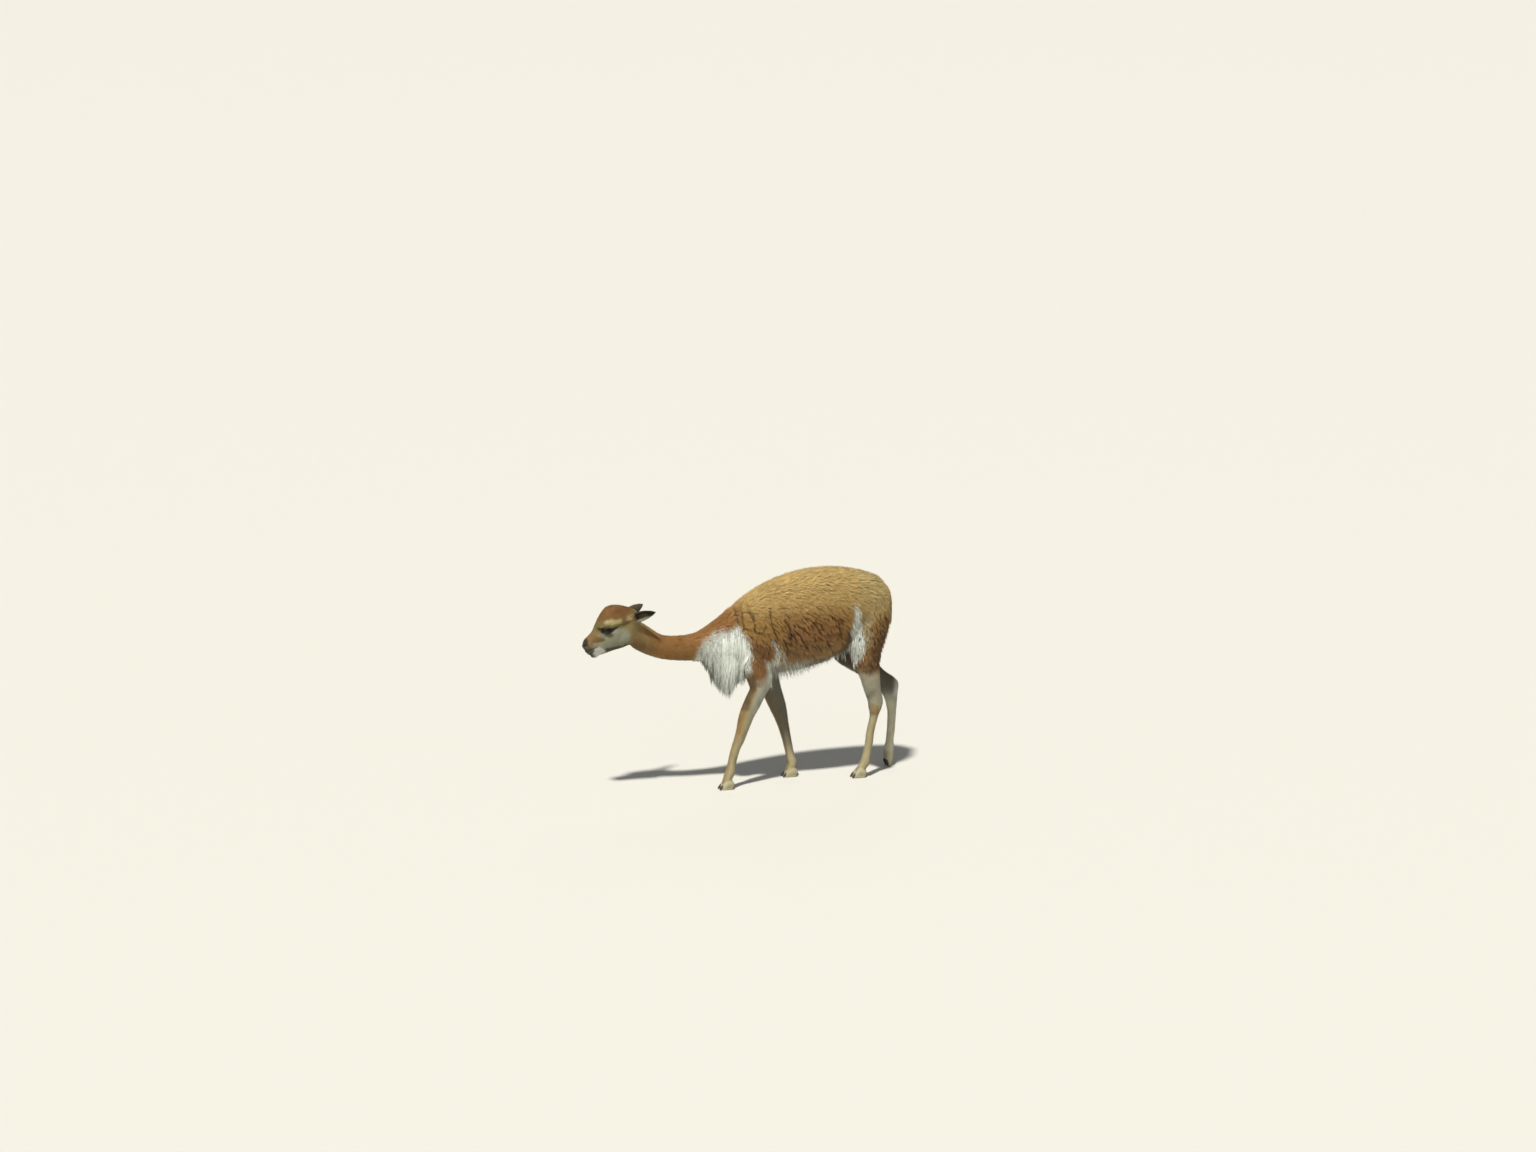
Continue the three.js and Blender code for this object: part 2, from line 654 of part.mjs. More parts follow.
// The tail's core, and the locks down its back
const tailForm = new Form(tailRings);
const tailLocks = [];
for (const [t, degrees] of [[1.6, 90], [2.4, 50], [2.6, 130], [3.3, 90], [3.9, 45], [4.1, 135], [4.8, 90]]) {
  const angle = THREE.MathUtils.degToRad(degrees);
  const root = tailForm.point(t, angle);
  const tip = vec(root.x - 4, root.y * 1.1, root.z - between(52, 66));
  tailLocks.push(hangingLock(tailForm, t, angle, tip, 20, 7, 3));
}
const tailBody = join([tailForm.solid(12, 1, 6, 14), ...tailLocks]);
pieces.set("tail", largest(tailBody.subtract(skinRoom)));
pieces.set("eye_left", eyes[0].ball);
pieces.set("eye_right", eyes[1].ball);
for (const [name, toes] of Object.entries(feet)) {
  pieces.set(`nail_${name}_a`, toes[0].nail);
  pieces.set(`nail_${name}_b`, toes[1].nail);
}

const colours = {
  head: 0xa9713a,
  lower_jaw: 0xd9d0bd,
  neck: 0xa8662e,
  chest: 0xe6ddca,
  torso: 0xb98a4a,
  rump: 0xb9914f,
  tail: 0xa9834e,
  ear: 0x6f6250,
  eye: 0x17110d,
  thigh: 0xa8773c,
  foreleg: 0xc9a876,
  hindleg: 0xcdbb98,
  foot: 0xb99d72,
  nail: 0x2b2723,
};

// The origin is under the middle of the animal, on the floor.
const all = [...pieces.values()].map((p) => p.boundingBox());
const low = vec(...[0, 1, 2].map((i) => Math.min(...all.map((b) => b.min[i]))));
const high = vec(...[0, 1, 2].map((i) => Math.max(...all.map((b) => b.max[i]))));
const shift = vec(-(low.x + high.x) / 2, -(low.y + high.y) / 2, 0);

function meshOf(solid, name) {
  const made = solid.getMesh();
  const points = new Float32Array(made.numVert * 3);
  for (let i = 0; i < made.numVert; i++) {
    const at = i * made.numProp;
    points[i * 3] = made.vertProperties[at] + shift.x;
    points[i * 3 + 1] = made.vertProperties[at + 1] + shift.y;
    points[i * 3 + 2] = made.vertProperties[at + 2];
  }
  const geometry = new THREE.BufferGeometry();
  geometry.setAttribute("position", new THREE.BufferAttribute(points, 3));
  geometry.setIndex(new THREE.BufferAttribute(made.triVerts, 1));
  geometry.computeVertexNormals();
  const kind = Object.keys(colours).find((key) => name.startsWith(key));
  const mesh = new THREE.Mesh(geometry, new THREE.MeshStandardMaterial({ color: colours[kind], roughness: 0.9 }));
  mesh.name = name;
  return mesh;
}

const vicuna = new THREE.Group();
vicuna.name = "vicuna";
for (const [name, piece] of pieces) vicuna.add(meshOf(piece, name));
export default vicuna;
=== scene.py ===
# Vicuna, life size and still: one skin under a coat of tufts, with its bib, tail, eyes, ears and nails.
# Sizes are in millimetres in the animal's own frame until toWorld. It faces -X, and its left side is -Y.

import math

import bpy
import numpy as np
from mathutils import Matrix, Vector
from mathutils.bvhtree import BVHTree
from mathutils.kdtree import KDTree


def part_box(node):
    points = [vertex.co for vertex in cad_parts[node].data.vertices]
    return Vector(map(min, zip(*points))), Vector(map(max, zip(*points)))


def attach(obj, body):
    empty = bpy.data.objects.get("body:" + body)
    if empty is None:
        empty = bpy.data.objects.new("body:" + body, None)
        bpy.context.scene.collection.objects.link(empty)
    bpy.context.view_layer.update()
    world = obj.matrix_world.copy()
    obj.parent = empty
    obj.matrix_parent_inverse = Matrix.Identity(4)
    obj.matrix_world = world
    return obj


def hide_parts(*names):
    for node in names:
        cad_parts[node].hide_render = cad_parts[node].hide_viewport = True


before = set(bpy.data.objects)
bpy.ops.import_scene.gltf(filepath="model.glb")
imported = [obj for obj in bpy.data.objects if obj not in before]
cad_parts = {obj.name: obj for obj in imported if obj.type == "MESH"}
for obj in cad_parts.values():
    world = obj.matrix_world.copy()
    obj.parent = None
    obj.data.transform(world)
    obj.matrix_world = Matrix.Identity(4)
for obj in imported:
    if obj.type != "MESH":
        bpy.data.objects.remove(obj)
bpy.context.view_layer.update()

body = {
    "headPitch": math.radians(26.8),  # how far the muzzle points down
    "headZero": (-809.0, 742.0),  # x and z of the head's own zero, between the roots of the ears
    "voxel": 2.3,  # of the fused skin, before it is thinned
    "quickVoxel": 4.0,
    "skinFaces": 188000,
    "smoothing": (5, 11, 70),  # rounds for the head, then for the legs, then for the trunk
    "cuts": (-190, -30, 130),  # x of the partings between the pieces of the fleece
    "pieceLimit": 199000,  # triangles
    "seed": 4217,
}
eye = {
    "forward": 106.0, "rise": 3.0, "across": 33.0, "radius": 16.5,
    # opening of the lids: degrees, half length and height
    "slitTilt": 18.0, "slitLong": 17.0, "slitHigh": 9.0,
    "rim": 1.25,  # thickness of the lids' edge
    "ball": "120C08", "iris": "1D1109", "pupil": "040302", "lash": "1E1611",
}


def headSpot(forward, up, across=0.0):
    # a point of the head: forward along the muzzle, up and across
    x = body["headZero"][0] - forward * math.cos(body["headPitch"]) - up * math.sin(body["headPitch"])
    z = body["headZero"][1] - forward * math.sin(body["headPitch"]) + up * math.cos(body["headPitch"])
    return np.array([x, across, z])


def headFrame(points):
    # forward, up and across of points given in the animal's frame
    ahead = body["headZero"][0] - points[:, 0]
    above = points[:, 2] - body["headZero"][1]
    c, s = math.cos(body["headPitch"]), math.sin(body["headPitch"])
    return ahead * c - above * s, ahead * s + above * c, points[:, 1]


# The animal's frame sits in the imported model's by the eyes.
eyeBoxes = [np.array(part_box(name)).mean(0) * 1000 for name in ("eye_left", "eye_right")]
placeShift = (eyeBoxes[0] + eyeBoxes[1]) / 2 - headSpot(eye["forward"], eye["rise"])


def toWorld(points):
    return (np.asarray(points) + placeShift) * 0.001


# Rings of each form: the two ends of its line in the side view, half width, offset from the midline,
# how much narrower its first end is, and the depth of the coat on it
def leg(front, back, height, wide, y, coat):
    return (front, height, back, height, wide, y, 0, coat)


def headRing(topForward, top, lowForward, low, wide, egg, coat):
    a = headSpot(topForward, top)
    b = headSpot(lowForward, low)
    return (a[0], a[2], b[0], b[2], wide, 0, egg, coat)


forms = {
    "trunk": {"sides": 96, "steps": 8, "domes": (6, 10), "rings": [
        (310, 752, 306, 690, 44, 0, 0, 14),
        (301, 808, 295, 612, 82, 0, 0, 16),
        (266, 846, 258, 563, 104, 0, 0, 17),  # croup
        (196, 871, 188, 545, 119, 0, 0, 18),
        (117, 887, 109, 521, 128, 0, 0, 18),
        (37, 892, 29, 489, 133, 0, 0, 18),  # loin
        (-52, 886, -61, 470, 134, 0, 0, 18),
        (-141, 865, -150, 462, 128, 0, 0, 18),  # ribs
        (-222, 836, -240, 465, 118, 0, 0, 18),
        (-296, 793, -328, 478, 103, 0, 0, 17),  # shoulders
        (-374, 736, -402, 508, 84, 0, 0, 15),
        (-431, 696, -465, 530, 67, 0, 0, 12),  # breast, and the root of the neck
        (-508, 657, -516, 536, 53, 0, 0, 9),
        (-586, 648, -588, 541, 45, 0, 0, 8),
        (-660, 658, -660, 553, 42, 0, 0, 7),
        (-712, 692, -728, 577, 41, 0, 0, 7),
        (-752, 722, -786, 609, 41, 0, 0, 6),
        (-776, 736, -818, 640, 36, 0, 0, 6),  # inside the head
    ]},
    "head": {"sides": 96, "steps": 10, "domes": (6, 6), "rings": [
        headRing(-38, 14, -30, -60, 30, 0, 6),
        headRing(-17, 40, -4, -94, 43, 0, 5),
        headRing(17, 68, 32, -109, 50, 0.04, 4.2),  # poll, and the angle of the jaw
        headRing(50, 81, 64, -107, 52, 0.05, 3.8),
        headRing(80, 71, 90, -101, 50, 0.06, 3.4),  # forehead
        headRing(106, 56, 112, -95, 45, 0.06, 3),
        headRing(130, 38, 135, -91, 38, 0, 2.6),
        headRing(154, 20, 157, -87, 32, 0, 2.2),
        headRing(178, 12, 178, -81, 28.5, 0, 1.8),  # bridge of the muzzle
        headRing(198, 6, 196, -73, 26, 0, 1.2),
        headRing(210, -5, 208, -60, 21, 0, 0.8),
    ]},
    "foreLeft": {"sides": 48, "steps": 8, "domes": (8, 8), "rings": [
        leg(-330, -222, 600, 38, -58, 17),
        leg(-336, -208, 520, 40, -70, 14),
        leg(-322, -212, 462, 39, -77, 9),  # elbow
        leg(-308, -222, 422, 35, -78, 6.5),
        leg(-326, -245, 378, 31, -77, 5),
        leg(-345, -267, 335, 28, -75, 4.2),
        leg(-355, -287, 301, 27, -73, 4),  # knee
        leg(-359, -297, 277, 26.5, -71, 4),
        leg(-364, -310, 245, 23, -69, 3.8),
        leg(-375, -325, 205, 19.5, -67, 3.6),
        leg(-388, -346, 162, 18, -65, 3.4),
        leg(-400, -361, 108, 17.5, -63, 3.2),
        leg(-409, -366, 78, 20.5, -62, 3.2),  # fetlock
        leg(-416, -372, 56, 22, -62, 3),
        leg(-422, -386, 32, 19, -62, 2.6),
    ]},
    "foreRight": {"sides": 48, "steps": 8, "domes": (8, 8), "rings": [
        leg(-300, -200, 600, 38, 58, 17),
        leg(-282, -168, 520, 40, 70, 14),
        leg(-245, -138, 462, 39, 77, 9),
        leg(-220, -124, 416, 35, 78, 6.5),
        leg(-202, -113, 372, 31, 77, 5),
        leg(-185, -101, 329, 28, 74, 4.2),
        leg(-169, -93, 293, 27, 71, 4),
        leg(-157, -90, 268, 26.5, 68, 4),
        leg(-144, -87, 238, 23, 64, 3.8),
        leg(-132, -83, 203, 19.5, 59, 3.6),
        leg(-118, -76, 153, 18, 53, 3.4),
        leg(-106, -67, 100, 17.5, 48, 3.2),
        leg(-103, -59, 76, 20.5, 46, 3.2),
        leg(-100, -56, 56, 22, 45, 3),
        leg(-105, -66, 32, 19, 45, 2.6),
    ]},
    "hindLeft": {"sides": 56, "steps": 8, "domes": (8, 8), "rings": [
        leg(158, 305, 770, 38, -60, 17),
        leg(140, 318, 700, 50, -70, 17),
        leg(130, 304, 618, 52, -76, 16),  # thigh
        leg(126, 281, 556, 46, -79, 14),
        leg(140, 268, 500, 40, -80, 11),
        leg(160, 262, 462, 37, -79, 8),  # stifle
        leg(178, 265, 424, 34, -78, 6),
        leg(196, 271, 370, 30, -75, 5),
        leg(213, 281, 326, 26, -73, 4.2),
        leg(217, 278, 299, 24, -72, 4),  # hock
        leg(224, 262, 257, 20, -70, 3.8),
        leg(211, 247, 196, 17.5, -68, 3.4),
        leg(203, 240, 138, 16.5, -67, 3.2),
        leg(191, 231, 84, 19, -66, 3.2),
        leg(181, 228, 60, 21.5, -66, 3),  # fetlock
        leg(168, 208, 33, 19, -66, 2.6),
    ]},
    "hindRight": {"sides": 56, "steps": 8, "domes": (8, 8), "rings": [
        (158, 770, 305, 770, 38, 60, 0, 17),
        (140, 700, 318, 700, 50, 70, 0, 17),
        (122, 618, 312, 618, 52, 76, 0, 16),
        (112, 556, 306, 560, 46, 79, 0, 14),
        (112, 512, 308, 520, 42, 80, 0, 11),
        (130, 474, 314, 488, 39, 80, 0, 8),  # stifle
        (170, 442, 318, 458, 36, 79, 0, 6),
        (224, 408, 330, 432, 33, 78, 0, 5),
        (284, 361, 358, 405, 30, 76, 0, 4.6),
        (328, 321, 390, 383, 26, 75, 0, 4.2),
        (348, 289, 409, 357, 24, 75, 0, 4),  # hock
        (357, 260, 406, 303, 21, 75, 0, 3.8),
        (362, 228, 402, 235, 18, 75, 0, 3.6),
        (360, 158, 397, 158, 16.5, 75, 0, 3.4),
        (356, 110, 391, 106, 18, 75, 0, 3.2),
        (351, 88, 393, 82, 21, 75, 0, 3.2),  # fetlock
        (351, 64, 391, 57, 21, 75, 0, 3),
        (353, 40, 384, 34, 18, 75, 0, 2.6),
    ]},
    "tail": {"sides": 40, "steps": 6, "domes": (6, 12), "rings": [
        (292, 806, 290, 774, 15, 0, 0, 5),
        (318, 803, 305, 772, 20, 0, 0, 6),
        (335, 781, 313, 762, 24, 0, 0, 8),
        (346, 745, 320, 738, 27, 0, 0, 9),
        (347, 704, 321, 702, 27, 0, 0, 9),
        (343, 664, 321, 664, 23, 0, 0, 8),
        (336, 632, 320, 633, 15, 0, 0, 6),
    ]},
}

foot = {
    "toeOffset": 12.5,  # from the middle of a foot to the middle of one toe
    "coat": 2.0,
    # back from the nails' tips, top, bottom, half width
    "flatToe": [(62, 28, 5, 8.5), (52, 44, -4, 12), (36, 44, -4, 12.6), (20, 31, -4, 11.6),
                (10, 19, -2, 8)],
    "flatNail": [(20, 25, 10, 6.4), (10, 19, 4.5, 5.4), (2, 8.5, 1.4, 2.8)],
    # front, back, height, half width
    "raisedToe": [(353, 386, 64, 12), (351, 387, 46, 12.6), (353, 384, 28, 12), (358, 380, 12, 9.5),
                  (362, 375, -3, 6.5)],
    "raisedNail": [(349, 361, 27, 6.2), (352, 363, 14, 5.2), (358, 364, 2.5, 3)],
    # tip of the nails, and the middle of the foot
    "flat": {"fore_left": (-438, -62), "fore_right": (-122, 45), "hind_left": (144, -66)},
    "raised": {"hind_right": 75},
}


def flatRows(rows, tip, y, coat):
    return [(tip + back, top, tip + back, low, wide, y, 0, coat) for back, top, low, wide in rows]


def raisedRows(rows, y, coat):
    return [(front, height, back, height, wide, y, 0, coat) for front, back, height, wide in rows]


nailForms = {}


def addToe(name, toe, nail):
    forms["toe_" + name] = {"sides": 32, "steps": 6, "domes": (3, 2), "rings": toe}
    nailForms["nail_" + name] = nail


for footName, (tip, middle) in foot["flat"].items():
    for letter, side in (("a", -1), ("b", 1)):
        at = middle + side * foot["toeOffset"]
        addToe(f"{footName}_{letter}", flatRows(foot["flatToe"], tip, at, foot["coat"]),
               flatRows(foot["flatNail"], tip, at, 0))
for footName, middle in foot["raised"].items():
    for letter, side in (("a", -1), ("b", 1)):
        at = middle + side * foot["toeOffset"]
        addToe(f"{footName}_{letter}", raisedRows(foot["raisedToe"], at, foot["coat"]),
               raisedRows(foot["raisedNail"], at, 0))
formNames = list(forms)
for form in forms.values():
    form["rings"] = np.array(form["rings"], float)


# Lofts

def fullTurn(count):
    return np.arange(count) / count * 2 * math.pi


def ringFaces(rows, sides, closed=False):
    # the quads between rings of points
    faces = []
    for j in range(rows if closed else rows - 1):
        a, b = j * sides, (j + 1) % rows * sides
        faces += [(a + i, a + (i + 1) % sides, b + (i + 1) % sides, b + i) for i in range(sides)]
    return faces


def ringsAt(rings, ts):
    # smooth rings between the given ones
    last = len(rings) - 1
    i = np.clip(np.floor(ts).astype(int), 0, last - 1)
    f = (ts - i)[:, None]
    p0, p1, p2, p3 = (rings[np.clip(i + k, 0, last)] for k in (-1, 0, 1, 2))
    bend = 2 * p0 - 5 * p1 + 4 * p2 - p3
    twist = 3 * p1 - p0 - 3 * p2 + p3
    return 0.5 * (2 * p1 + (p2 - p0) * f + bend * f**2 + twist * f**3)


def ringPoints(rows, angles, share=1.0):
    # a grid of points: one row for each ring, one column for each angle
    # angle 0 is +Y, and a quarter turn is the ring's first end
    ax, az, bx, bz, wide, y, egg, coat = rows.T
    halfX, halfZ = (ax - bx) / 2, (az - bz) / 2
    size = np.hypot(halfX, halfZ)
    inner = np.maximum(size - coat, 1.5) / size
    up = np.sin(angles)[None, :] * share
    across = (np.maximum(wide - coat, 1.5))[:, None] * (1 - egg[:, None] * np.sin(angles)[None, :])
    out = np.empty((len(rows), len(angles), 3))
    out[..., 0] = ((ax + bx) / 2)[:, None] + (halfX * inner)[:, None] * up
    out[..., 1] = y[:, None] + across * np.cos(angles)[None, :] * share
    out[..., 2] = ((az + bz) / 2)[:, None] + (halfZ * inner)[:, None] * up
    return out


def loft(rings, sides, steps, domes):
    # the closed mesh of a form, with a dome on each end
    last = len(rings) - 1
    angles = fullTurn(sides)
    middles = lambda t: ringPoints(ringsAt(rings, np.array([t])), np.zeros(1), 0.0)[0, 0]
    rows = ringPoints(ringsAt(rings, np.arange(last * steps + 1) / steps), angles)
    tips = []
    blocks = [rows]
    for t, toward, height, front in ((0.0, 0.1, domes[0], True),
                                     (float(last), last - 0.1, domes[1], False)):
        out = middles(t) - middles(toward)
        out /= np.linalg.norm(out)
        ring = ringsAt(rings, np.array([t]))
        dome = np.concatenate([
            ringPoints(ring, angles, math.sqrt(1 - s * s)) + out * s * height for s in (0.35, 0.65, 0.88)
        ])
        tips.append(middles(t) + out * height)
        blocks = [dome[::-1]] + blocks if front else blocks + [dome]
    grid = np.concatenate(blocks)
    count = len(grid)
    verts = np.concatenate([grid.reshape(-1, 3), np.array(tips)])
    faces = ringFaces(count, sides)
    top = (count - 1) * sides
    for i in range(sides):
        faces.append(((i + 1) % sides, i, len(verts) - 2))
        faces.append((top + i, top + (i + 1) % sides, len(verts) - 1))
    return verts, faces


def ballMesh(centre, axes, radii, sides=32, rows=20):
    # an ellipsoid on three directions
    polar = np.linspace(0, math.pi, rows + 1)[1:-1]
    around = fullTurn(sides)
    ball = np.stack([
        np.outer(np.sin(polar), np.cos(around)),
        np.outer(np.sin(polar), np.sin(around)),
        np.outer(np.cos(polar), np.ones(sides)),
    ], -1).reshape(-1, 3)
    ball = np.concatenate([ball, [[0, 0, 1], [0, 0, -1]]])
    verts = centre + (ball * radii) @ np.array(axes)
    faces = [(a, d, c, b) for a, b, c, d in ringFaces(rows - 1, sides)]
    end = (rows - 2) * sides
    for i in range(sides):
        n = (i + 1) % sides
        faces.append((len(verts) - 2, i, n))
        faces.append((end + i, len(verts) - 1, end + n))
    return verts, faces


def headBall(forward, up, across, radii, lean=0.0):
    pitch = body["headPitch"] + math.radians(lean)
    ahead = (-math.cos(pitch), 0, -math.sin(pitch))
    above = (-math.sin(pitch), 0, math.cos(pitch))
    return ballMesh(headSpot(forward, up, across), (ahead, (0, 1, 0), above), radii)


# Ears: long leaves laid back beside the neck, hollow on their outer side
earShape = {
    "tip": (-706, 86, 771),
    "along": (103, 50, 36),
    "open": (-0.18, 1, -0.12),
    "long": 118.0,
    "leaf": [(0, 0), (15, 4), (20.5, 14), (24.5, 32), (24.5, 52), (21, 72), (15, 92), (7.5, 108), (0, 118)],
    "leafFlat": 0.6,
    "hollow": [(0, 20), (10.5, 24), (17.5, 38), (19, 56), (16, 76), (9.5, 94), (0, 108)],
    "hollowFlat": 0.72,
    "hollowOut": 8.5,
    "hollowUnder": 1.2,  # skin below the coat, inside and outside
    "skinUnder": 3.2,
}


def earFrame(side):
    # tip, direction, opening and width of one ear
    tip, along, face = (np.array(earShape[key], float) * [1, side, 1] for key in ("tip", "along", "open"))
    along /= np.linalg.norm(along)
    face -= along * face.dot(along)
    face /= np.linalg.norm(face)
    return tip, along, face, np.cross(along, face)


def earShare(points):
    # 1 on the free part of an ear, fading to 0 at its root
    share = np.zeros(len(points))
    for side in (-1, 1):
        tip, along, face, wide = earFrame(side)
        rel = points - (tip - along * earShape["long"])
        out = rel @ along
        off = np.linalg.norm(rel - out[:, None] * along, axis=1)
        share = np.maximum(share, step(out, 14, 26) * (1 - step(off, 24, 30)))
    return share


def turned(outline, centre, wide, along, face, flat, sides=48, shrink=0.0):
    # a solid of revolution about the ear's length, flattened across its opening
    fine = np.linspace(0, len(outline) - 1, 36)
    rows = ringsAt(np.array(outline, float), fine)
    rows[0, 0] = rows[-1, 0] = 0
    verts = []
    for r, y in rows[1:-1]:
        r = max(r - shrink, 0.8)
        for a in fullTurn(sides):
            verts.append(centre + along * y + wide * r * math.cos(a) + face * r * flat * math.sin(a))
    verts += [centre + along * rows[0, 1], centre + along * rows[-1, 1]]
    count = len(rows) - 2
    faces = ringFaces(count, sides)
    for i in range(sides):
        n = (i + 1) % sides
        faces.append((len(verts) - 2, n, i))
        faces.append(((count - 1) * sides + i, (count - 1) * sides + n, len(verts) - 1))
    return np.array(verts), faces


# Blender meshes

def linked(name, data):
    # a new object in the scene
    made = bpy.data.objects.new(name, data)
    bpy.context.scene.collection.objects.link(made)
    return made


def newMesh(name, verts, edges, faces):
    mesh = bpy.data.meshes.new(name)
    mesh.from_pydata(verts, edges, faces)
    return mesh


def newObject(name, verts, faces):
    mesh = newMesh(name, toWorld(verts).tolist(), [], faces)
    mesh.validate()
    return linked(name, mesh)


def outwards(made):
    # turns a closed mesh's faces outwards
    corners = vertsOf(made.data)[trianglesOf(made.data)]
    volume = np.einsum("ij,ij->i", corners[:, 0], np.cross(corners[:, 1], corners[:, 2])).sum()
    if volume < 0:
        made.data.flip_normals()
    return made


def pulled(items, key, width, kind=np.float32):
    # one property of every item, in rows of a width
    flat = np.empty(len(items) * width, kind)
    items.foreach_get(key, flat)
    return flat.reshape(-1, width)


def vertsOf(mesh):
    return pulled(mesh.vertices, "co", 3).astype(float)


def trianglesOf(mesh):
    mesh.calc_loop_triangles()
    return pulled(mesh.loop_triangles, "vertices", 3, np.int32)


def smoothShaded(mesh):
    mesh.polygons.foreach_set("use_smooth", [True] * len(mesh.polygons))


def madeActive(made, *others):
    # selects some objects alone
    bpy.ops.object.select_all(action="DESELECT")
    for each in (made, *others):
        each.select_set(True)
    bpy.context.view_layer.objects.active = made


def treeOf(points):
    # for finding the nearest of many points
    tree = KDTree(len(points))
    for i, spot in enumerate(points.tolist()):
        tree.insert(spot, i)
    tree.balance()
    return tree


def finished(made):
    # the object's mesh with its modifiers applied
    graph = bpy.context.evaluated_depsgraph_get()
    mesh = bpy.data.meshes.new_from_object(made.evaluated_get(graph))
    made.modifiers.clear()
    old = made.data
    made.data = mesh
    bpy.data.meshes.remove(old)
    return made


def neighbourMean(values, edges, count):
    # the mean of each vertex's neighbours
    degree = np.bincount(edges.ravel(), minlength=count)
    one, other = edges.T
    columns = [
        np.bincount(one, values[other, k], count) + np.bincount(other, values[one, k], count)
        for k in range(values.shape[1])
    ]
    return np.stack(columns, 1) / np.maximum(degree, 1)[:, None]


def smoothed(values, edges, rounds, share=0.5):
    for _ in range(rounds):
        values = values + share * (neighbourMean(values, edges, len(values)) - values)
    return values


def unit(vectors):
    return vectors / np.maximum(np.linalg.norm(vectors, axis=-1, keepdims=True), 1e-9)


def step(values, low, high):
    # smooth 0 to 1 between low and high
    t = np.clip((values - low) / (high - low), 0, 1)
    return t * t * (3 - 2 * t)


def ripple(points, size, seed, waves=7):
    # a smooth repeatable noise, about -1 to 1
    draw = np.random.RandomState(seed)
    directions = unit(draw.normal(size=(waves, 3)))
    directions = directions * draw.uniform(0.7, 1.6, (waves, 1)) * 2 * math.pi / size
    phases = draw.uniform(0, 2 * math.pi, waves)
    return np.sin(points @ directions.T + phases).sum(1) / math.sqrt(waves)


def makeEar(side):
    tip, along, face, wide = earFrame(side)
    root = tip - along * earShape["long"]
    opening = root + face * earShape["hollowOut"]
    leaf = outwards(newObject("leaf", *turned(
        earShape["leaf"], root, wide, along, face, earShape["leafFlat"], shrink=earShape["skinUnder"])))
    hollow = outwards(newObject("hollow", *turned(
        earShape["hollow"], opening, wide, along, face, earShape["hollowFlat"],
        shrink=earShape["hollowUnder"])))
    cut = leaf.modifiers.new("cut", "BOOLEAN")
    cut.operation = "DIFFERENCE"
    cut.object = hollow
    finished(leaf)
    bpy.data.objects.remove(hollow)
    return leaf


def makeSkin():
    # every form as a closed loft, fused into one skin and thinned
    verts, faces = [], []
    start = 0

    def take(piece):
        nonlocal start
        verts.append(piece[0])
        faces.extend([tuple(i + start for i in f) for f in piece[1]])
        start += len(piece[0])

    for form in forms.values():
        take(loft(form["rings"], form["sides"], form["steps"], form["domes"]))
    take(headBall(184, -69, 0, (21, 16, 13)))  # chin
    for s in (-1, 1):
        take(headBall(52, -57, s * 24, (46, 25, 40)))  # cheek
        take(headBall(96, 24, s * 28, (34, 16, 12), 8))  # brow
        take(headBall(199, -20, s * 11, (18, 13, 13), 10))  # upper lip
        take(headBall(eye["forward"], eye["rise"], s * (eye["across"] - 1.5), (19.5, 18, 18)))  # lids
    soup = outwards(newObject("skin", np.concatenate(verts), faces))
    madeActive(soup, *[makeEar(s) for s in (-1, 1)])
    bpy.ops.object.join()
    fuse = soup.modifiers.new("fuse", "REMESH")
    fuse.mode = "VOXEL"
    fuse.voxel_size = body["voxel"] * 0.001
    finished(soup)
    mesh = soup.data
    points = vertsOf(mesh) * 1000 - placeShift
    edges = pulled(mesh.edges, "vertices", 2, np.int32)
    u, v, w = headFrame(points)
    onHead = step(u, 45, 75)
    onTrunk = step(points[:, 2], 430, 520) * (1 - onHead)
    onEar = earShare(points)
    # creases between forms soften most on the body, and small features of the head and ears stay
    few, some, many = body["smoothing"]
    firm = smoothed(points, edges, few)
    soft = smoothed(firm, edges, some)
    loose = smoothed(soft, edges, many)
    points = soft + (firm - soft) * onHead[:, None] + (loose - soft) * (onTrunk * (1 - onEar))[:, None]
    points = shapeFace(points, edges)
    points[:, 2] = np.maximum(points[:, 2], -placeShift[2])
    mesh.vertices.foreach_set("co", toWorld(points).astype(np.float32).ravel())
    mesh.update()
    thin = soup.modifiers.new("thin", "DECIMATE")
    thin.ratio = min(1.0, body["skinFaces"] / (2 * len(mesh.polygons)))
    thin.use_collapse_triangulate = True
    finished(soup)
    smoothShaded(soup.data)
    print("skin:", len(soup.data.vertices), "vertices")
    return soup


face = {
    "mouthFront": -35.0,  # height of the mouth's line at the lips, in the head's frame
    "mouthSlope": 0.085,  # and how much it falls for each millimetre back
    "lipsAt": 214.0,
    "mouthCorner": 148.0,
    "mouthDeep": 3.2,
    "nostril": (207.0, -13.0, 9.5, 3.4, 32.0),  # forward, up, half length, half height, tilt
    "nostrilDeep": 7.0,
}


def tilted(u, v, forward, up, degrees):
    # distances along and across a tilted line through a point of the head
    c, s = math.cos(math.radians(degrees)), math.sin(math.radians(degrees))
    return (u - forward) * c + (v - up) * s, -(u - forward) * s + (v - up) * c


def slitFrame(u, v):
    return tilted(u, v, eye["forward"], eye["rise"], eye["slitTilt"])


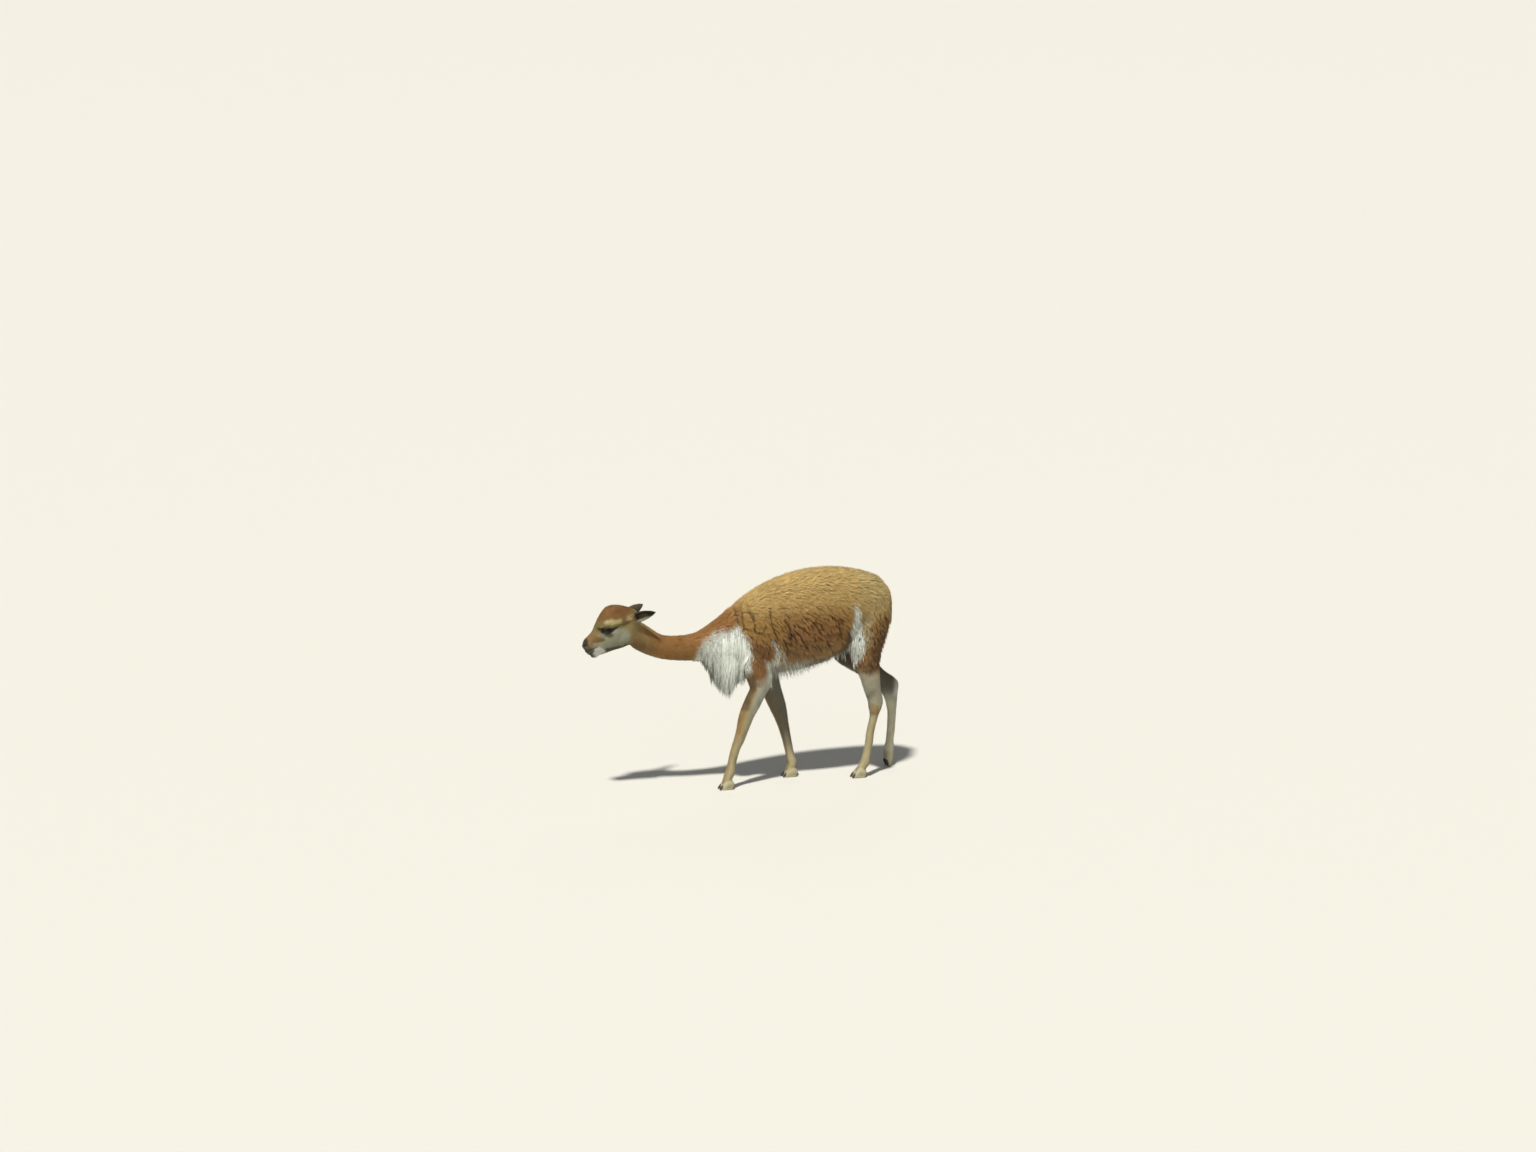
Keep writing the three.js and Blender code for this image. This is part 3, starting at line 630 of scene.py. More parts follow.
def shapeFace(points, edges):
    # presses the mouth, nostrils and eye openings into the fused head
    u, v, w = headFrame(points)
    near = np.where(u > 40)[0]
    centre = headSpot(110, -20)
    outward = points - centre
    outward[:, 1] *= 1.5
    outward = unit(outward)
    uu, vv, ww = u[near], v[near], w[near]
    push = np.zeros(len(near))
    mouth = face["mouthFront"] - (face["lipsAt"] - uu) * face["mouthSlope"]
    along = step(uu, face["mouthCorner"] - 6, face["mouthCorner"] + 6)
    push -= face["mouthDeep"] * np.exp(-(((vv - mouth) / 1.9) ** 2)) * along
    push += 0.9 * np.exp(-(((np.abs(vv - mouth) - 5) / 2.6) ** 2)) * along
    lip = 2.2 * np.exp(-((ww / 1.6) ** 2)) * step(uu, 200, 208)  # the cleft of the upper lip
    push -= lip * step(vv, -36, -30) * (1 - step(vv, -19, -14))
    forward, up, long, high, tilt = face["nostril"]
    a, b = tilted(uu, vv, forward, up, tilt)
    side = step(np.abs(ww), 5, 9)
    push -= face["nostrilDeep"] * np.exp(-((a / long) ** 2 + (b / high) ** 2) * 1.6) * side
    push += 1.0 * np.exp(-(((np.hypot(a / long, b / high) - 1.5) / 0.5) ** 2)) * side
    points[near] += outward[near] * push[:, None]
    # the lids close over the ball, and the skin inside the opening sinks behind it
    a, b = slitFrame(uu, vv)
    q = np.hypot(a / eye["slitLong"], b / eye["slitHigh"])
    reach = np.hypot(a, b)
    ball = eye["across"] + np.sqrt(np.maximum(eye["radius"] ** 2 - reach**2, 4.0))
    now = np.abs(ww)
    lid = np.maximum(ball + 1.8, now)
    outside = step(q, 0.84, 1.08)
    goal = (ball - 6) * (1 - outside) + lid * outside
    goal = now + (goal - now) * (1 - step(q, 1.3, 1.9))
    sided = now > 12
    points[near[sided], 1] = (np.sign(ww) * goal)[sided]
    lids = (q < 2.2) & sided
    eased = smoothed(points, edges, 2)
    points[near[lids]] = eased[near[lids]]
    return points


def unwrapSkin(made):
    # an unwrap of the skin's own shape, which the tufts' patches are placed by
    madeActive(made)
    made.data.uv_layers.new(name="OFBake")
    bpy.ops.object.mode_set(mode="EDIT")
    bpy.ops.mesh.select_all(action="SELECT")
    bpy.ops.uv.smart_project(angle_limit=math.radians(66), island_margin=0.0015, correct_aspect=False)
    bpy.ops.object.mode_set(mode="OBJECT")


# What grows where: the hair's direction and the depth of the coat at each point of the skin

growth = {
    "earDepth": 2.2,
    "noseDepth": 0.55,
    "lidDepth": 0.9,
    "soleClear": 9.0,  # no hair below this height
}


def growthSamples():
    # spots on every form, with the hair's direction, the coat's depth and the form's number
    spots, ways, depths, kinds = [], [], [], []
    for number, name in enumerate(formNames):
        rings = forms[name]["rings"]
        ts = np.arange(0, len(rings) - 0.999, 0.25)
        rows = ringsAt(rings, ts)
        angles = fullTurn(24)
        grid = ringPoints(rows, angles)
        middle = ringPoints(rows, np.zeros(1), 0.0)[:, 0]
        way = unit(np.gradient(middle, axis=0)) * (-1 if name in ("trunk", "head") else 1)
        flank = np.abs(np.cos(angles)) * (0.7 - 0.3 * np.sin(angles))
        sink = np.zeros((len(ts), 24))
        if name == "trunk":
            sink = 0.2 + np.outer(1.9 * step(ts, 2, 4) - 1.35 * step(ts, 10, 12), flank)
            sink += 1.1 * (1 - step(ts, 0.5, 3.5))[:, None]
        elif name.startswith("hind"):
            sink += 0.5 * (1 - step(ts, 3, 6))[:, None]
        way = way[:, None] - np.array([0, 0, 1.0]) * sink[..., None]
        spots.append(grid.reshape(-1, 3))
        ways.append(way.reshape(-1, 3))
        depths.append(np.repeat(rows[:, 7], 24))
        kinds.append(np.full(len(ts) * 24, number))
    for side in (-1, 1):
        tip, along, face, wide = earFrame(side)
        spot = turned(earShape["leaf"], tip - along * earShape["long"], wide, along, face,
                      earShape["leafFlat"], 16)[0]
        spot = spot[(spot - tip) @ along > -94]
        spots.append(spot)
        ways.append(np.tile(along, (len(spot), 1)))
        depths.append(np.full(len(spot), growth["earDepth"]))
        kinds.append(np.full(len(spot), len(formNames)))
    return [np.concatenate(part) for part in (spots, ways, depths, kinds)]


def eyeSlit(points):
    # 1 at the edge of the eye's opening, less inside it
    u, v, w = headFrame(points)
    a, b = slitFrame(u, v)
    q = np.hypot(a / eye["slitLong"], b / eye["slitHigh"])
    return np.where(np.abs(w) > 20, q, 9.0)


def nostrilShare(points):
    # below 1 inside a nostril
    u, v, w = headFrame(points)
    forward, up, long, high, tilt = face["nostril"]
    a, b = tilted(u, v, forward, up, tilt)
    return np.where(np.abs(w) > 4, np.hypot(a / long, b / high), 9.0)


def readSkin(made):
    # everything that the coat is planted by, for each vertex of the skin
    mesh = made.data
    points = vertsOf(mesh) * 1000 - placeShift
    edges = pulled(mesh.edges, "vertices", 2, np.int32)
    normals = pulled(mesh.vertex_normals, "vector", 3).astype(float)
    spots, ways, depths, kinds = growthSamples()
    tree = treeOf(spots)
    nearest = np.array([tree.find(spot)[1] for spot in points.tolist()])
    way, depth, kind = ways[nearest], depths[nearest].astype(float), kinds[nearest]
    depth = smoothed(depth[:, None], edges, 40)[:, 0]
    even = unit(smoothed(normals, edges, 6))
    x, y, z = points.T
    onBib = step(intoPatch(x, z, shapes["bib"]), -10, 20) * kindIs(kind, "trunk")
    onStreak = step(intoPatch(x, z, shapes["thighStreak"]), -8, 8)
    nearElbow = np.exp(-((offLine(x, z, shapes["elbowStreak"]) / 18) ** 2)) * (z > 440)
    down = np.maximum(2.2 * onBib, 1.8 * np.maximum(onStreak, nearElbow) * (np.abs(y) > 40))
    way = unit(way) - np.array([0, 0, 1.0]) * down[:, None]
    way = smoothed(unit(way), edges, 30)
    way = unit(way - (way * even).sum(1)[:, None] * even + 1e-6)
    way = smoothed(way, edges, 12)
    way = unit(way - (way * even).sum(1)[:, None] * even)
    onHead = kind == formNames.index("head")
    slit = eyeSlit(points)
    u, v, w = headFrame(points)
    nose = step(u, 196, 204) * step(v, -34, -24) * onHead
    depth = depth + (growth["noseDepth"] - depth) * nose
    lid = (1 - step(slit, 1.3, 2.1)) * onHead
    depth = depth + (growth["lidDepth"] - depth) * lid
    depth[(slit < 1.06) & onHead] = 0
    depth[(nostrilShare(points) < 0.8) & onHead & (u > 190)] = 0
    mouth = np.abs(v - face["mouthFront"] + (face["lipsAt"] - u) * face["mouthSlope"])
    depth[(mouth < 1.6) & onHead & (u > face["mouthCorner"])] = 0
    depth[points[:, 2] < growth["soleClear"]] = 0
    return {"points": points, "even": even, "way": way, "depth": depth, "kind": kind,
            "ear": earShare(points)}


# Markings: colours are hex values, mixed as light

coat = {
    # back, flanks and rump: the back's gold is partly painted light, the flank's browns, red and crack
    # colour partly painted shade, and its pale partly painted highlight
    "backSunlitGold": "C7A769", "rumpGold": "C3AE78", "flankGold": "B1894D", "cinnamon": "A57E4C",
    "flankShadeBrown": "9C7146", "flankShadeOlive": "8A744E", "flankRedShade": "5E3A28", "flankPaleHighlight": "B8925E",
    "crack": "3E2A1C",
    # neck and shoulders, with painted shade under the neck and at the throat
    "neckRufous": "A07443", "neckRust": "9A6A38", "neckUnderShade": "7C5E3C", "shoulderBrown": "8E6842",
    "poll": "A8915C", "throatShade": "725F42",
    # white and cream parts, the cream dulled by painted shade, and the painted shade on the bib, the belly
    # and in the groin
    "bibWhite": "E8EBE0", "bibShade": "AEB2A2", "streakWhite": "E0E4DA",
    "bellyCreamShade": "A39A84", "bellyShade": "5C503A", "groinShade": "484232",
    # legs, with painted shade on the rear of the thigh, on the inner sides and in patches
    "thighShadeBrown": "705238", "thighTan": "B9A67E", "legTan": "C7B990", "legFront": "B08A50",
    "legWhite": "C6C6B8",
    "legInnerShade": "706A5C", "legShade": "6A563E", "footTan": "CCC4A2",
    # ears, with painted shade in the hollow
    "earOuter": "5F5139", "earHollowShade": "1E1A11", "earRim": "969078",
    # face, with painted shade round and under the eye and along the jaw
    "cheekGrey": "ACAA90", "crown": "855E34", "crownBack": "7A5028", "browPale": "C0AE7C",
    "browLine": "665030",
    "eyeLineShade": "2A2118", "underEyeShadow": "5C5838", "eyeFront": "77672F", "paleEdge": "A89C70",
    "muzzleTan": "86683A", "muzzleBrown": "7A5E40", "cheekLine": "AAA680", "nose": "3A2E26",
    "lipGrey": "5C5A4C", "lipDark": "3E3A2E", "chinWhite": "E6E4DA", "jawShade": "5C5644",
}
shapes = {
    # outlines and lines in the side view
    "clumps": [(-182, 735), (27, 748), (108, 722), (96, 645), (66, 575), (-5, 540), (-147, 545),
               (-190, 625)],
    "bib": [(-530, 576), (-511, 606), (-468, 636), (-425, 655), (-390, 672), (-362, 688), (-348, 676),
            (-332, 650), (-315, 616), (-306, 590), (-303, 560), (-303, 505), (-316, 470), (-330, 440),
            (-560, 440)],
    "upperArm": [(-298, 618), (-222, 612), (-226, 560), (-240, 496), (-302, 484)],
    "bibShadow": [(-296, 500), (-286, 430), (-318, 335), (-352, 335), (-330, 430), (-318, 500)],
    "thighStreak": [(137, 754), (129, 715), (124, 665), (133, 609), (124, 568), (112, 514), (148, 506),
                    (178, 550), (186, 598), (174, 648), (161, 700), (146, 744)],
    "thighTan": [(165, 720), (214, 712), (217, 635), (208, 572), (180, 560), (184, 596), (171, 648)],
    "rumpShadeBand": [(228, 712), (236, 650), (228, 590), (206, 530), (152, 494), (190, 455), (262, 462),
                 (280, 517), (294, 579), (322, 653), (318, 702)],
    "groin": [(106, 655), (76, 580), (40, 528), (60, 470), (160, 455), (114, 512), (126, 568), (133, 609),
              (120, 650)],
    "elbowStreak": [(-222, 628), (-206, 599), (-197, 577), (-197, 557), (-208, 532), (-221, 512),
                    (-223, 476)],
    "elbowStrand": [(-190, 596), (-172, 569), (-168, 548), (-179, 526)],
    "gaskinShade": [(207, 388), (236, 382), (229, 358), (218, 341), (207, 360)],
    "hockEdgeShade": [(194, 350), (209, 356), (218, 327), (215, 299), (201, 300)],
    "hockTan": [(224, 322), (254, 305), (258, 280), (232, 275), (217, 298)],
    "hockLineShade": [(226, 278), (245, 273), (260, 275), (267, 299)],
    "hockWhite": [(204, 297), (219, 289), (226, 274), (206, 274)],
    "farHeelLight": [(387, 378), (416, 372), (420, 333), (405, 303), (376, 312), (378, 336)],
    "creases": [[(-324, 800), (-333, 747), (-337, 668)], [(-311, 800), (-307, 753), (-302, 718)],
                [(-294, 727), (-290, 658)], [(-355, 746), (-355, 690)], [(-226, 750), (-226, 701),
                 (-217, 667), (-198, 620)], [(-171, 704), (-154, 676), (-145, 654), (-141, 595)],
                [(-174, 622), (-156, 583), (-152, 552)], [(-248, 678), (-261, 656), (-280, 652)],
                [(60, 690), (72, 640), (84, 606)]],
    "nape": [(-340, 760), (-430, 690), (-508, 655), (-590, 645), (-690, 668)],
}
# patches of the face, forward and up in the head's frame: outline, colour, softness, share
facePatches = [
    ([(42, -22), (43, -8), (21, -12), (-10, -10), (-40, -20), (-40, -110), (24, -110), (50, -98), (39, -70),
      (35, -43)], "poll", 9, 0.85),
    ([(-70, -2), (-20, -6), (20, -14), (56, -14), (96, 8), (124, 4), (150, 6), (140, 90), (-70, 100)],
     "eyeFront", 8, 0.9),
    ([(-60, 19), (6, 19), (30, 20), (49, 27), (69, 36), (89, 41), (97, 38), (115, 43), (124, 54), (122, 90),
      (40, 120), (-60, 100)], "crown", 6, 1.0),
    ([(-40, 30), (10, 26), (34, 34), (52, 46), (44, 84), (0, 100), (-50, 80)], "crownBack", 14, 0.7),
    ([(36, 18), (8, 23), (-6, 12), (-10, -12), (20, -12), (41, -2)], "muzzleTan", 6, 0.8),
    ([(188, 15), (162, 8), (141, -13), (136, -28), (160, -23), (177, -9), (197, 0)], "muzzleTan", 5, 0.9),
    ([(176, -8), (151, -14), (130, -22), (134, -30), (162, -26), (184, -12)], "muzzleBrown", 4, 0.7),
    ([(177, -20), (141, -31), (110, -38), (111, -43), (143, -37), (177, -27)], "cheekLine", 3, 0.75),
    ([(103, 33), (92, 37), (74, 32), (54, 24), (36, 18), (38, 9), (48, 3), (64, 7), (84, 14), (100, 24)],
     "browPale", 5, 0.95),
    ([(12, 13), (0, 10), (-6, -6), (10, -6), (17, 3)], "paleEdge", 3, 0.85),
    # painted shadow under the eye
    ([(119, 3), (95, -12), (90, -24), (100, -31), (112, -27), (122, -10)], "underEyeShadow", 5, 0.8),
    ([(66, -4), (44, -6), (21, -14), (4, -14), (6, -8), (42, 1), (63, 3)], "browLine", 3, 0.85),
    # dark rims round the eye, widened by painted shade of the brow
    ([(137, 23), (130, 27), (116, 22), (100, 14), (83, 6), (63, 0), (60, -5), (68, -9), (82, -12),
      (93, -15), (104, -13), (115, -2), (125, 9), (134, 17)], "eyeLineShade", 2, 1.0),
    ([(230, 24), (198, 12), (188, 4), (196, -9), (206, -24), (230, -30)], "nose", 4, 0.97),
    ([(230, -17), (203, -20), (184, -38), (186, -52), (200, -72), (230, -70)], "lipGrey", 5, 0.95),
    ([(182, -41), (163, -43), (151, -61), (146, -76), (150, -92), (179, -100), (198, -84), (198, -58)],
     "chinWhite", 5, 1.0),
    ([(190, -66), (200, -52), (214, -52), (208, -84), (192, -88)], "lipDark", 4, 0.6),
    # painted shade along the jaw
    ([(146, -62), (95, -80), (70, -88), (56, -108), (112, -116), (146, -94)], "jawShade", 5, 0.85),
]


def linear(code):
    # an sRGB hex value as light
    parts = [int(code[i:i + 2], 16) / 255 for i in (0, 2, 4)]
    return np.array([c / 12.92 if c <= 0.04045 else ((c + 0.055) / 1.055) ** 2.4 for c in parts])


def offLine(x, z, line):
    # distance to a line of points in the side view
    best = np.full(len(x), 1e9)
    for (x1, z1), (x2, z2) in zip(line[:-1], line[1:]):
        dx, dz = x2 - x1, z2 - z1
        t = np.clip(((x - x1) * dx + (z - z1) * dz) / (dx * dx + dz * dz), 0, 1)
        best = np.minimum(best, np.hypot(x - x1 - t * dx, z - z1 - t * dz))
    return best


def intoPatch(x, z, outline):
    # distance inside an outline, negative outside
    away = offLine(x, z, outline + outline[:1])
    inside = np.zeros(len(x), bool)
    for (x1, z1), (x2, z2) in zip(outline, outline[1:] + outline[:1]):
        if z1 != z2:
            inside ^= ((z1 > z) != (z2 > z)) & (x < (x2 - x1) * (z - z1) / (z2 - z1) + x1)
    return np.where(inside, away, -away)


def kindIs(kind, *names):
    # which points belong to the forms named
    return np.isin(kind, [formNames.index(name) for name in names])


def creaseShare(points):
    # 1 along the folds of the shoulder and the flank
    share = np.zeros(len(points))
    some = np.where((points[:, 2] > 500) & (points[:, 0] > -400) & (points[:, 0] < 120))[0]
    x, y, z = points[some].T
    for line in shapes["creases"]:
        near = np.exp(-((offLine(x, z, line) / 4.6) ** 2))
        near *= 1 - 0.85 * step(z, 725, 775)  # the folds run out below the spine
        share[some] = np.maximum(share[some], near)
    return share


def painter(colour):
    # lays one of the coat's colours over the rest, as far as its share goes at each point
    def lay(name, share):
        colour[:] += (linear(coat[name]) - colour) * np.clip(share, 0, 1)[:, None]
    return lay


def markings(points, normals, kind, ear):
    # the coat's colour at each point, and how far it cracks into clumps there
    # step() and patch() say from where to where a colour fades in, in millimetres or along the normal
    x, y, z = points.T
    side = np.abs(y)
    wander = ripple(points, 90, 11) * 9 + ripple(points, 35, 12) * 5
    colour = np.tile(linear(coat["cinnamon"]), (len(x), 1))
    lay = painter(colour)

    def patch(name, soft, uneven=0.5):
        return step(intoPatch(x, z, shapes[name]) + wander * uneven, -soft, soft)

    # trunk and neck
    onTrunk = kindIs(kind, "trunk")
    inFore, inHind = kindIs(kind, "foreLeft", "foreRight"), kindIs(kind, "hindLeft", "hindRight")
    trunk = onTrunk | kindIs(kind, "tail") | inFore | inHind
    rear = onTrunk | inHind
    # the back is paler, most where it faces up, and the lower flank darker: partly the coat's own colour,
    # partly painted light on the back and painted shade low on the flank
    lay("flankGold", step(z + wander, 590, 690) * trunk)
    lay("backSunlitGold", step(z + wander + 30 * normals[:, 2], 690, 800) * trunk)
    lay("rumpGold", 0.6 * step(x + wander, 110, 220) * step(z + wander, 640, 740) * rear)
    clumped = patch("clumps", 34, 1.0) * (0.45 + 0.55 * step(-z, -735, -650))
    lay("flankShadeBrown", 0.9 * clumped)
    lay("flankShadeOlive", 0.7 * clumped * step(-z + wander, -640, -570))
    lay("flankShadeBrown", 0.5 * step(-z + wander, -630, -550) * step(-x, 150, 230) * trunk)
    lay("shoulderBrown", 0.85 * patch("upperArm", 18) * trunk)
    neck = step(-x + 0.25 * (z - 600) + wander * 0.7, 325, 455)
    lay("neckRufous", neck)
    lay("neckRust", 0.8 * np.exp(-((offLine(x, z, shapes["nape"]) / 32) ** 2)) * step(-x, 330, 400))
    # darker where the neck faces down: painted shade
    lay("neckUnderShade", 0.8 * neck * step(-normals[:, 2], 0.2, 0.8) * (1 - step(-x, 640, 700)))
    # darker throat behind the jaw: painted shade
    lay("throatShade", 0.7 * step(-x, 670, 750) * step(-normals[:, 2], -0.5, 0.3) * onTrunk)
    lay("poll", 0.65 * step(-x, 690, 760) * step(normals[:, 2], -0.5, 0.2) * onTrunk)
    # the lower rear of the thigh is darker brown: painted shade
    lay("thighShadeBrown", 0.45 * step(x + wander, 190, 250) * step(-z, -640, -500) * step(z, 430, 470))

    # belly, groin, thighs and rump
    # the belly's cream is dulled by painted shade, and its rear part is darker still: painted shade
    belly = step(-normals[:, 2], 0.25, 0.75) * step(-z, -560, -520) * step(x, -300, -240) * (z > 420)
    lay("bellyCreamShade", belly)
    lay("bellyShade", 0.9 * belly * step(x + wander, -110, -20))
    # painted shade in the groin and on the inner sides of the hind legs
    lay("groinShade", 0.85 * patch("groin", 9) * rear)
    inner = step(-normals[:, 1] * np.sign(y), 0.1, 0.7)
    lay("groinShade", 0.8 * inner * inHind * step(z, 440, 470))
    lay("thighTan", 0.9 * patch("thighTan", 14) * rear)
    behind = step(normals[:, 0], 0.3, 0.85) * rear
    mid = behind * (1 - step(side + wander, 35, 80))
    # painted shade down the rear of the thigh
    band = patch("rumpShadeBand", 16, 1.2) * rear * (1 - 0.75 * step(z + 2 * wander, 600, 715))
    lay("thighShadeBrown", 0.95 * band * (1 - 0.85 * mid))
    lay("thighTan", 0.7 * mid * step(-z + wander, -740, -640) * step(z, 440, 500))
    underTail = behind * (1 - step(side + wander, 12, 45))
    lay("streakWhite", 0.6 * underTail * step(z, 500, 560) * (1 - step(z + wander, 600, 690)))
    streak = patch("thighStreak", 7, 0.3) * (1 - inner)
    lay("streakWhite", streak * rear)
    # painted shade on the lower end of the thigh's streak
    lay("legInnerShade", 0.85 * streak * (1 - step(z + wander, 520, 575)) * rear)
    soft = np.interp(x, [-520, -420], [20, 8])
    bib = step((intoPatch(x, z, shapes["bib"]) + wander * 0.6) / soft, -1, 1)
    lay("bibWhite", bib * (onTrunk | inFore))
    # bibShade: painted shade on the bib, low down and at its front
    lay("bibShade", 0.7 * bib * np.maximum(1 - step(z, 520, 590), 0.7 * step(-x, 420, 480)) * onTrunk)

    # legs and feet
    fore, hind = inFore & (z < 520), inHind & (z < 560)
    toes = kind >= formNames.index("tail") + 1
    toes &= kind < len(formNames)
    low = 1 - step(z + wander, 408, 488)
    leg = (fore | hind) * low
    lay("legTan", leg)
    lay("shoulderBrown", 0.85 * fore * step(z + wander, 400, 490) * (normals[:, 0] < 0.5) * (1 - bib))
    lay("legFront", 0.9 * fore * low * step(-normals[:, 0], 0.1, 0.7) * step(z, 190, 250))
    lay("legFront", 0.45 * fore * low * step(-normals[:, 0], 0.3, 0.9) * (1 - step(z, 190, 250)))
    lay("legWhite", 0.9 * fore * low * step(normals[:, 0] + 0.006 * (z - 320), -0.1, 0.5))
    lay("legFront", 0.35 * hind * low * step(normals[:, 0], 0.2, 0.8) * step(z, 60, 250))
    lay("legWhite", 0.8 * hind * low * step(-normals[:, 0], 0.3, 0.9) * step(z, 250, 340))
    # the bib's painted shadow on the front of the foreleg
    lay("legShade", 0.75 * patch("bibShadow", 7, 0.2) * fore)
    lay("legWhite", 0.45 * hind * step(z, 270, 330) * (1 - step(z, 440, 470)))
    lay("legWhite", 0.7 * hind * step(normals[:, 0], 0.3, 0.8) * step(z, 290, 330)
        * (1 - step(z, 400, 440)))
    near, far = kindIs(kind, "hindLeft"), kindIs(kind, "hindRight")
    # dark patches and a line on the near hind leg: painted shade
    lay("legShade", 0.5 * patch("gaskinShade", 9, 0.3) * near)
    lay("legShade", 0.6 * patch("hockEdgeShade", 5, 0.2) * near)
    lay("legFront", 0.6 * patch("hockTan", 6, 0.2) * near)
    lay("legShade", 0.6 * np.exp(-((offLine(x, z, shapes["hockLineShade"]) / 4.5) ** 2)) * near)
    lay("legWhite", patch("hockWhite", 4, 0.1) * near)
    # painted shade on the inner sides of the legs
    lay("legInnerShade", 0.85 * fore * inner * step(z, 80, 180))
    lay("legInnerShade", 0.85 * hind * inner * step(z, 230, 330))
    # painted shade on the far hind leg's inner side
    lay("groinShade", 0.5 * far * inner * step(z, 300, 360))
    # the far hind leg is paler low down and at the heel: painted light
    lay("footTan", far * (1 - step(z, 270, 330)))
    lay("bibWhite", 0.25 * far * (1 - step(z, 290, 350)) * step(z, 40, 90))
    lay("bibWhite", 0.8 * patch("farHeelLight", 12, 0.3) * far)
    lay("footTan", toes * 1.0)
    slim = np.interp(z, [500, 560, 600, 630], [8, 11, 8, 3])  # the streak's half width
    elbow = np.exp(-((offLine(x, z, shapes["elbowStreak"]) / slim) ** 4)) * step(side, 40, 62)
    strand = np.exp(-((offLine(x, z, shapes["elbowStrand"]) / 5) ** 2)) * step(side, 45, 70)
    elbow = np.maximum(elbow, 0.7 * strand)
    lay("streakWhite", 0.95 * elbow * (1 - inner))
    arm = inFore * step(z + wander, 425, 455) * (1 - step(z + wander, 535, 575))
    lay("streakWhite", 0.9 * arm * step(normals[:, 0], 0.1, 0.6) * (1 - inner))
    lay("legTan", 0.5 * toes * step(normals[:, 2], -0.2, 0.8))

    faceMarks(colour, points, kindIs(kind, "head"), wander)
    inEar, rim = earMarks(points)
    lay("earOuter", ear)
    # painted shade in the ear's hollow
    lay("earHollowShade", ear * inEar)
    lay("earRim", ear * rim)
    # crack: how far the fleece parts into clumps, and how much painted shade lies in the gaps between them
    crack = clumped * (1 - bib) * (1 - streak)
    lower = step(z, 480, 560) * (1 - neck) * (1 - bib) * (1 - step(z + wander, 620, 760))
    crack = np.maximum(crack, 0.5 * trunk * lower)
    crack = np.maximum(crack, 0.06 * trunk)
    # more painted shade in the gaps on the rear of the thigh
    crack = np.maximum(crack, 0.6 * patch("rumpShadeBand", 20) * rear)
    return colour, crack * (z > 430)


def faceMarks(colour, points, head, wander):
    # the face's own colours, laid in its own frame
    some = np.where(head)[0]
    u, v, w = headFrame(points[some])
    ragged = wander[some] * 0.15
    shade = colour[some]
    lay = painter(shade)
    lay("cheekGrey", np.ones(len(some)))
    # painted shade under the jaw
    lay("throatShade", step(-v, 70, 98))
    lay("poll", 0.8 * (1 - step(u, 5, 50)))
    lay("muzzleTan", 0.85 * step(u, 120, 160) * step(v + 0.15 * (u - 150), -42, -14))
    for outline, name, soft, share in facePatches:
        lay(name, share * step(intoPatch(u, v, outline) + ragged, -soft, soft))
    lay("crown", step(v, 48, 60) * (1 - step(u, 116, 140)))
    # dark rims of the eye's opening, partly painted shade
    lay("eyeLineShade", 0.95 * (1 - step(eyeSlit(points[some]), 1.25, 1.6)))
    mouth = v - face["mouthFront"] + (face["lipsAt"] - u) * face["mouthSlope"]
    lay("lipDark", 0.85 * (1 - step(np.abs(mouth), 1.5, 4)) * step(u, 158, 184))
    colour[some] = shade


def earMarks(points):
    # 1 inside the hollow of an ear, and 1 on its rim
    inside, rim = np.zeros(len(points)), np.zeros(len(points))
    for side in (-1, 1):
        tip, along, face, wide = earFrame(side)
        rel = points - (tip - along * earShape["long"])
        out, off, open = rel @ along, rel @ wide, rel @ face
        leafR = np.interp(out, [p[1] for p in earShape["leaf"]], [p[0] for p in earShape["leaf"]])
        share = np.abs(off) / np.maximum(leafR, 1)
        near = (np.linalg.norm(points - tip, axis=1) < 130) & (out > 14)
        inside = np.maximum(inside, near * (1 - step(share, 0.7, 0.95)) * step(open, -4, 0)
                            * step(out, 20, 30))
        lower = step(-(rel[:, 2] - out * along[2]), -2, 8)
        edge = step(share, 0.3, 0.6) * (1 - step(share, 1.2, 1.4)) * step(open, -6, -1)
        rim = np.maximum(rim, near * edge * lower * (1 - 0.6 * step(out, 60, 100)))
    return inside, rim


# Geometry Nodes

def addNode(tree, kind, settings=None, inputs=None):
    # adds a node with its settings and links
    node = tree.nodes.new(kind)
    for key, value in (settings or {}).items():
        setattr(node, key, value)
    for key, value in (inputs or {}).items():
        if isinstance(value, bpy.types.NodeSocket):
            tree.links.new(value, node.inputs[key])
        else:
            node.inputs[key].default_value = value
    return node


def newTree(name, sockets):
    tree = bpy.data.node_groups.new(name, "GeometryNodeTree")
    tree.interface.new_socket("Geometry", in_out="INPUT", socket_type="NodeSocketGeometry")
    tree.interface.new_socket("Geometry", in_out="OUTPUT", socket_type="NodeSocketGeometry")
    for title, kind, value in sockets:
        socket = tree.interface.new_socket(title, in_out="INPUT", socket_type=kind)
        if value is not None:
            socket.default_value = value
    return tree


def named(tree, kind, name):
    return addNode(tree, "GeometryNodeInputNamedAttribute", {"data_type": kind},
                   {"Name": name}).outputs["Attribute"]


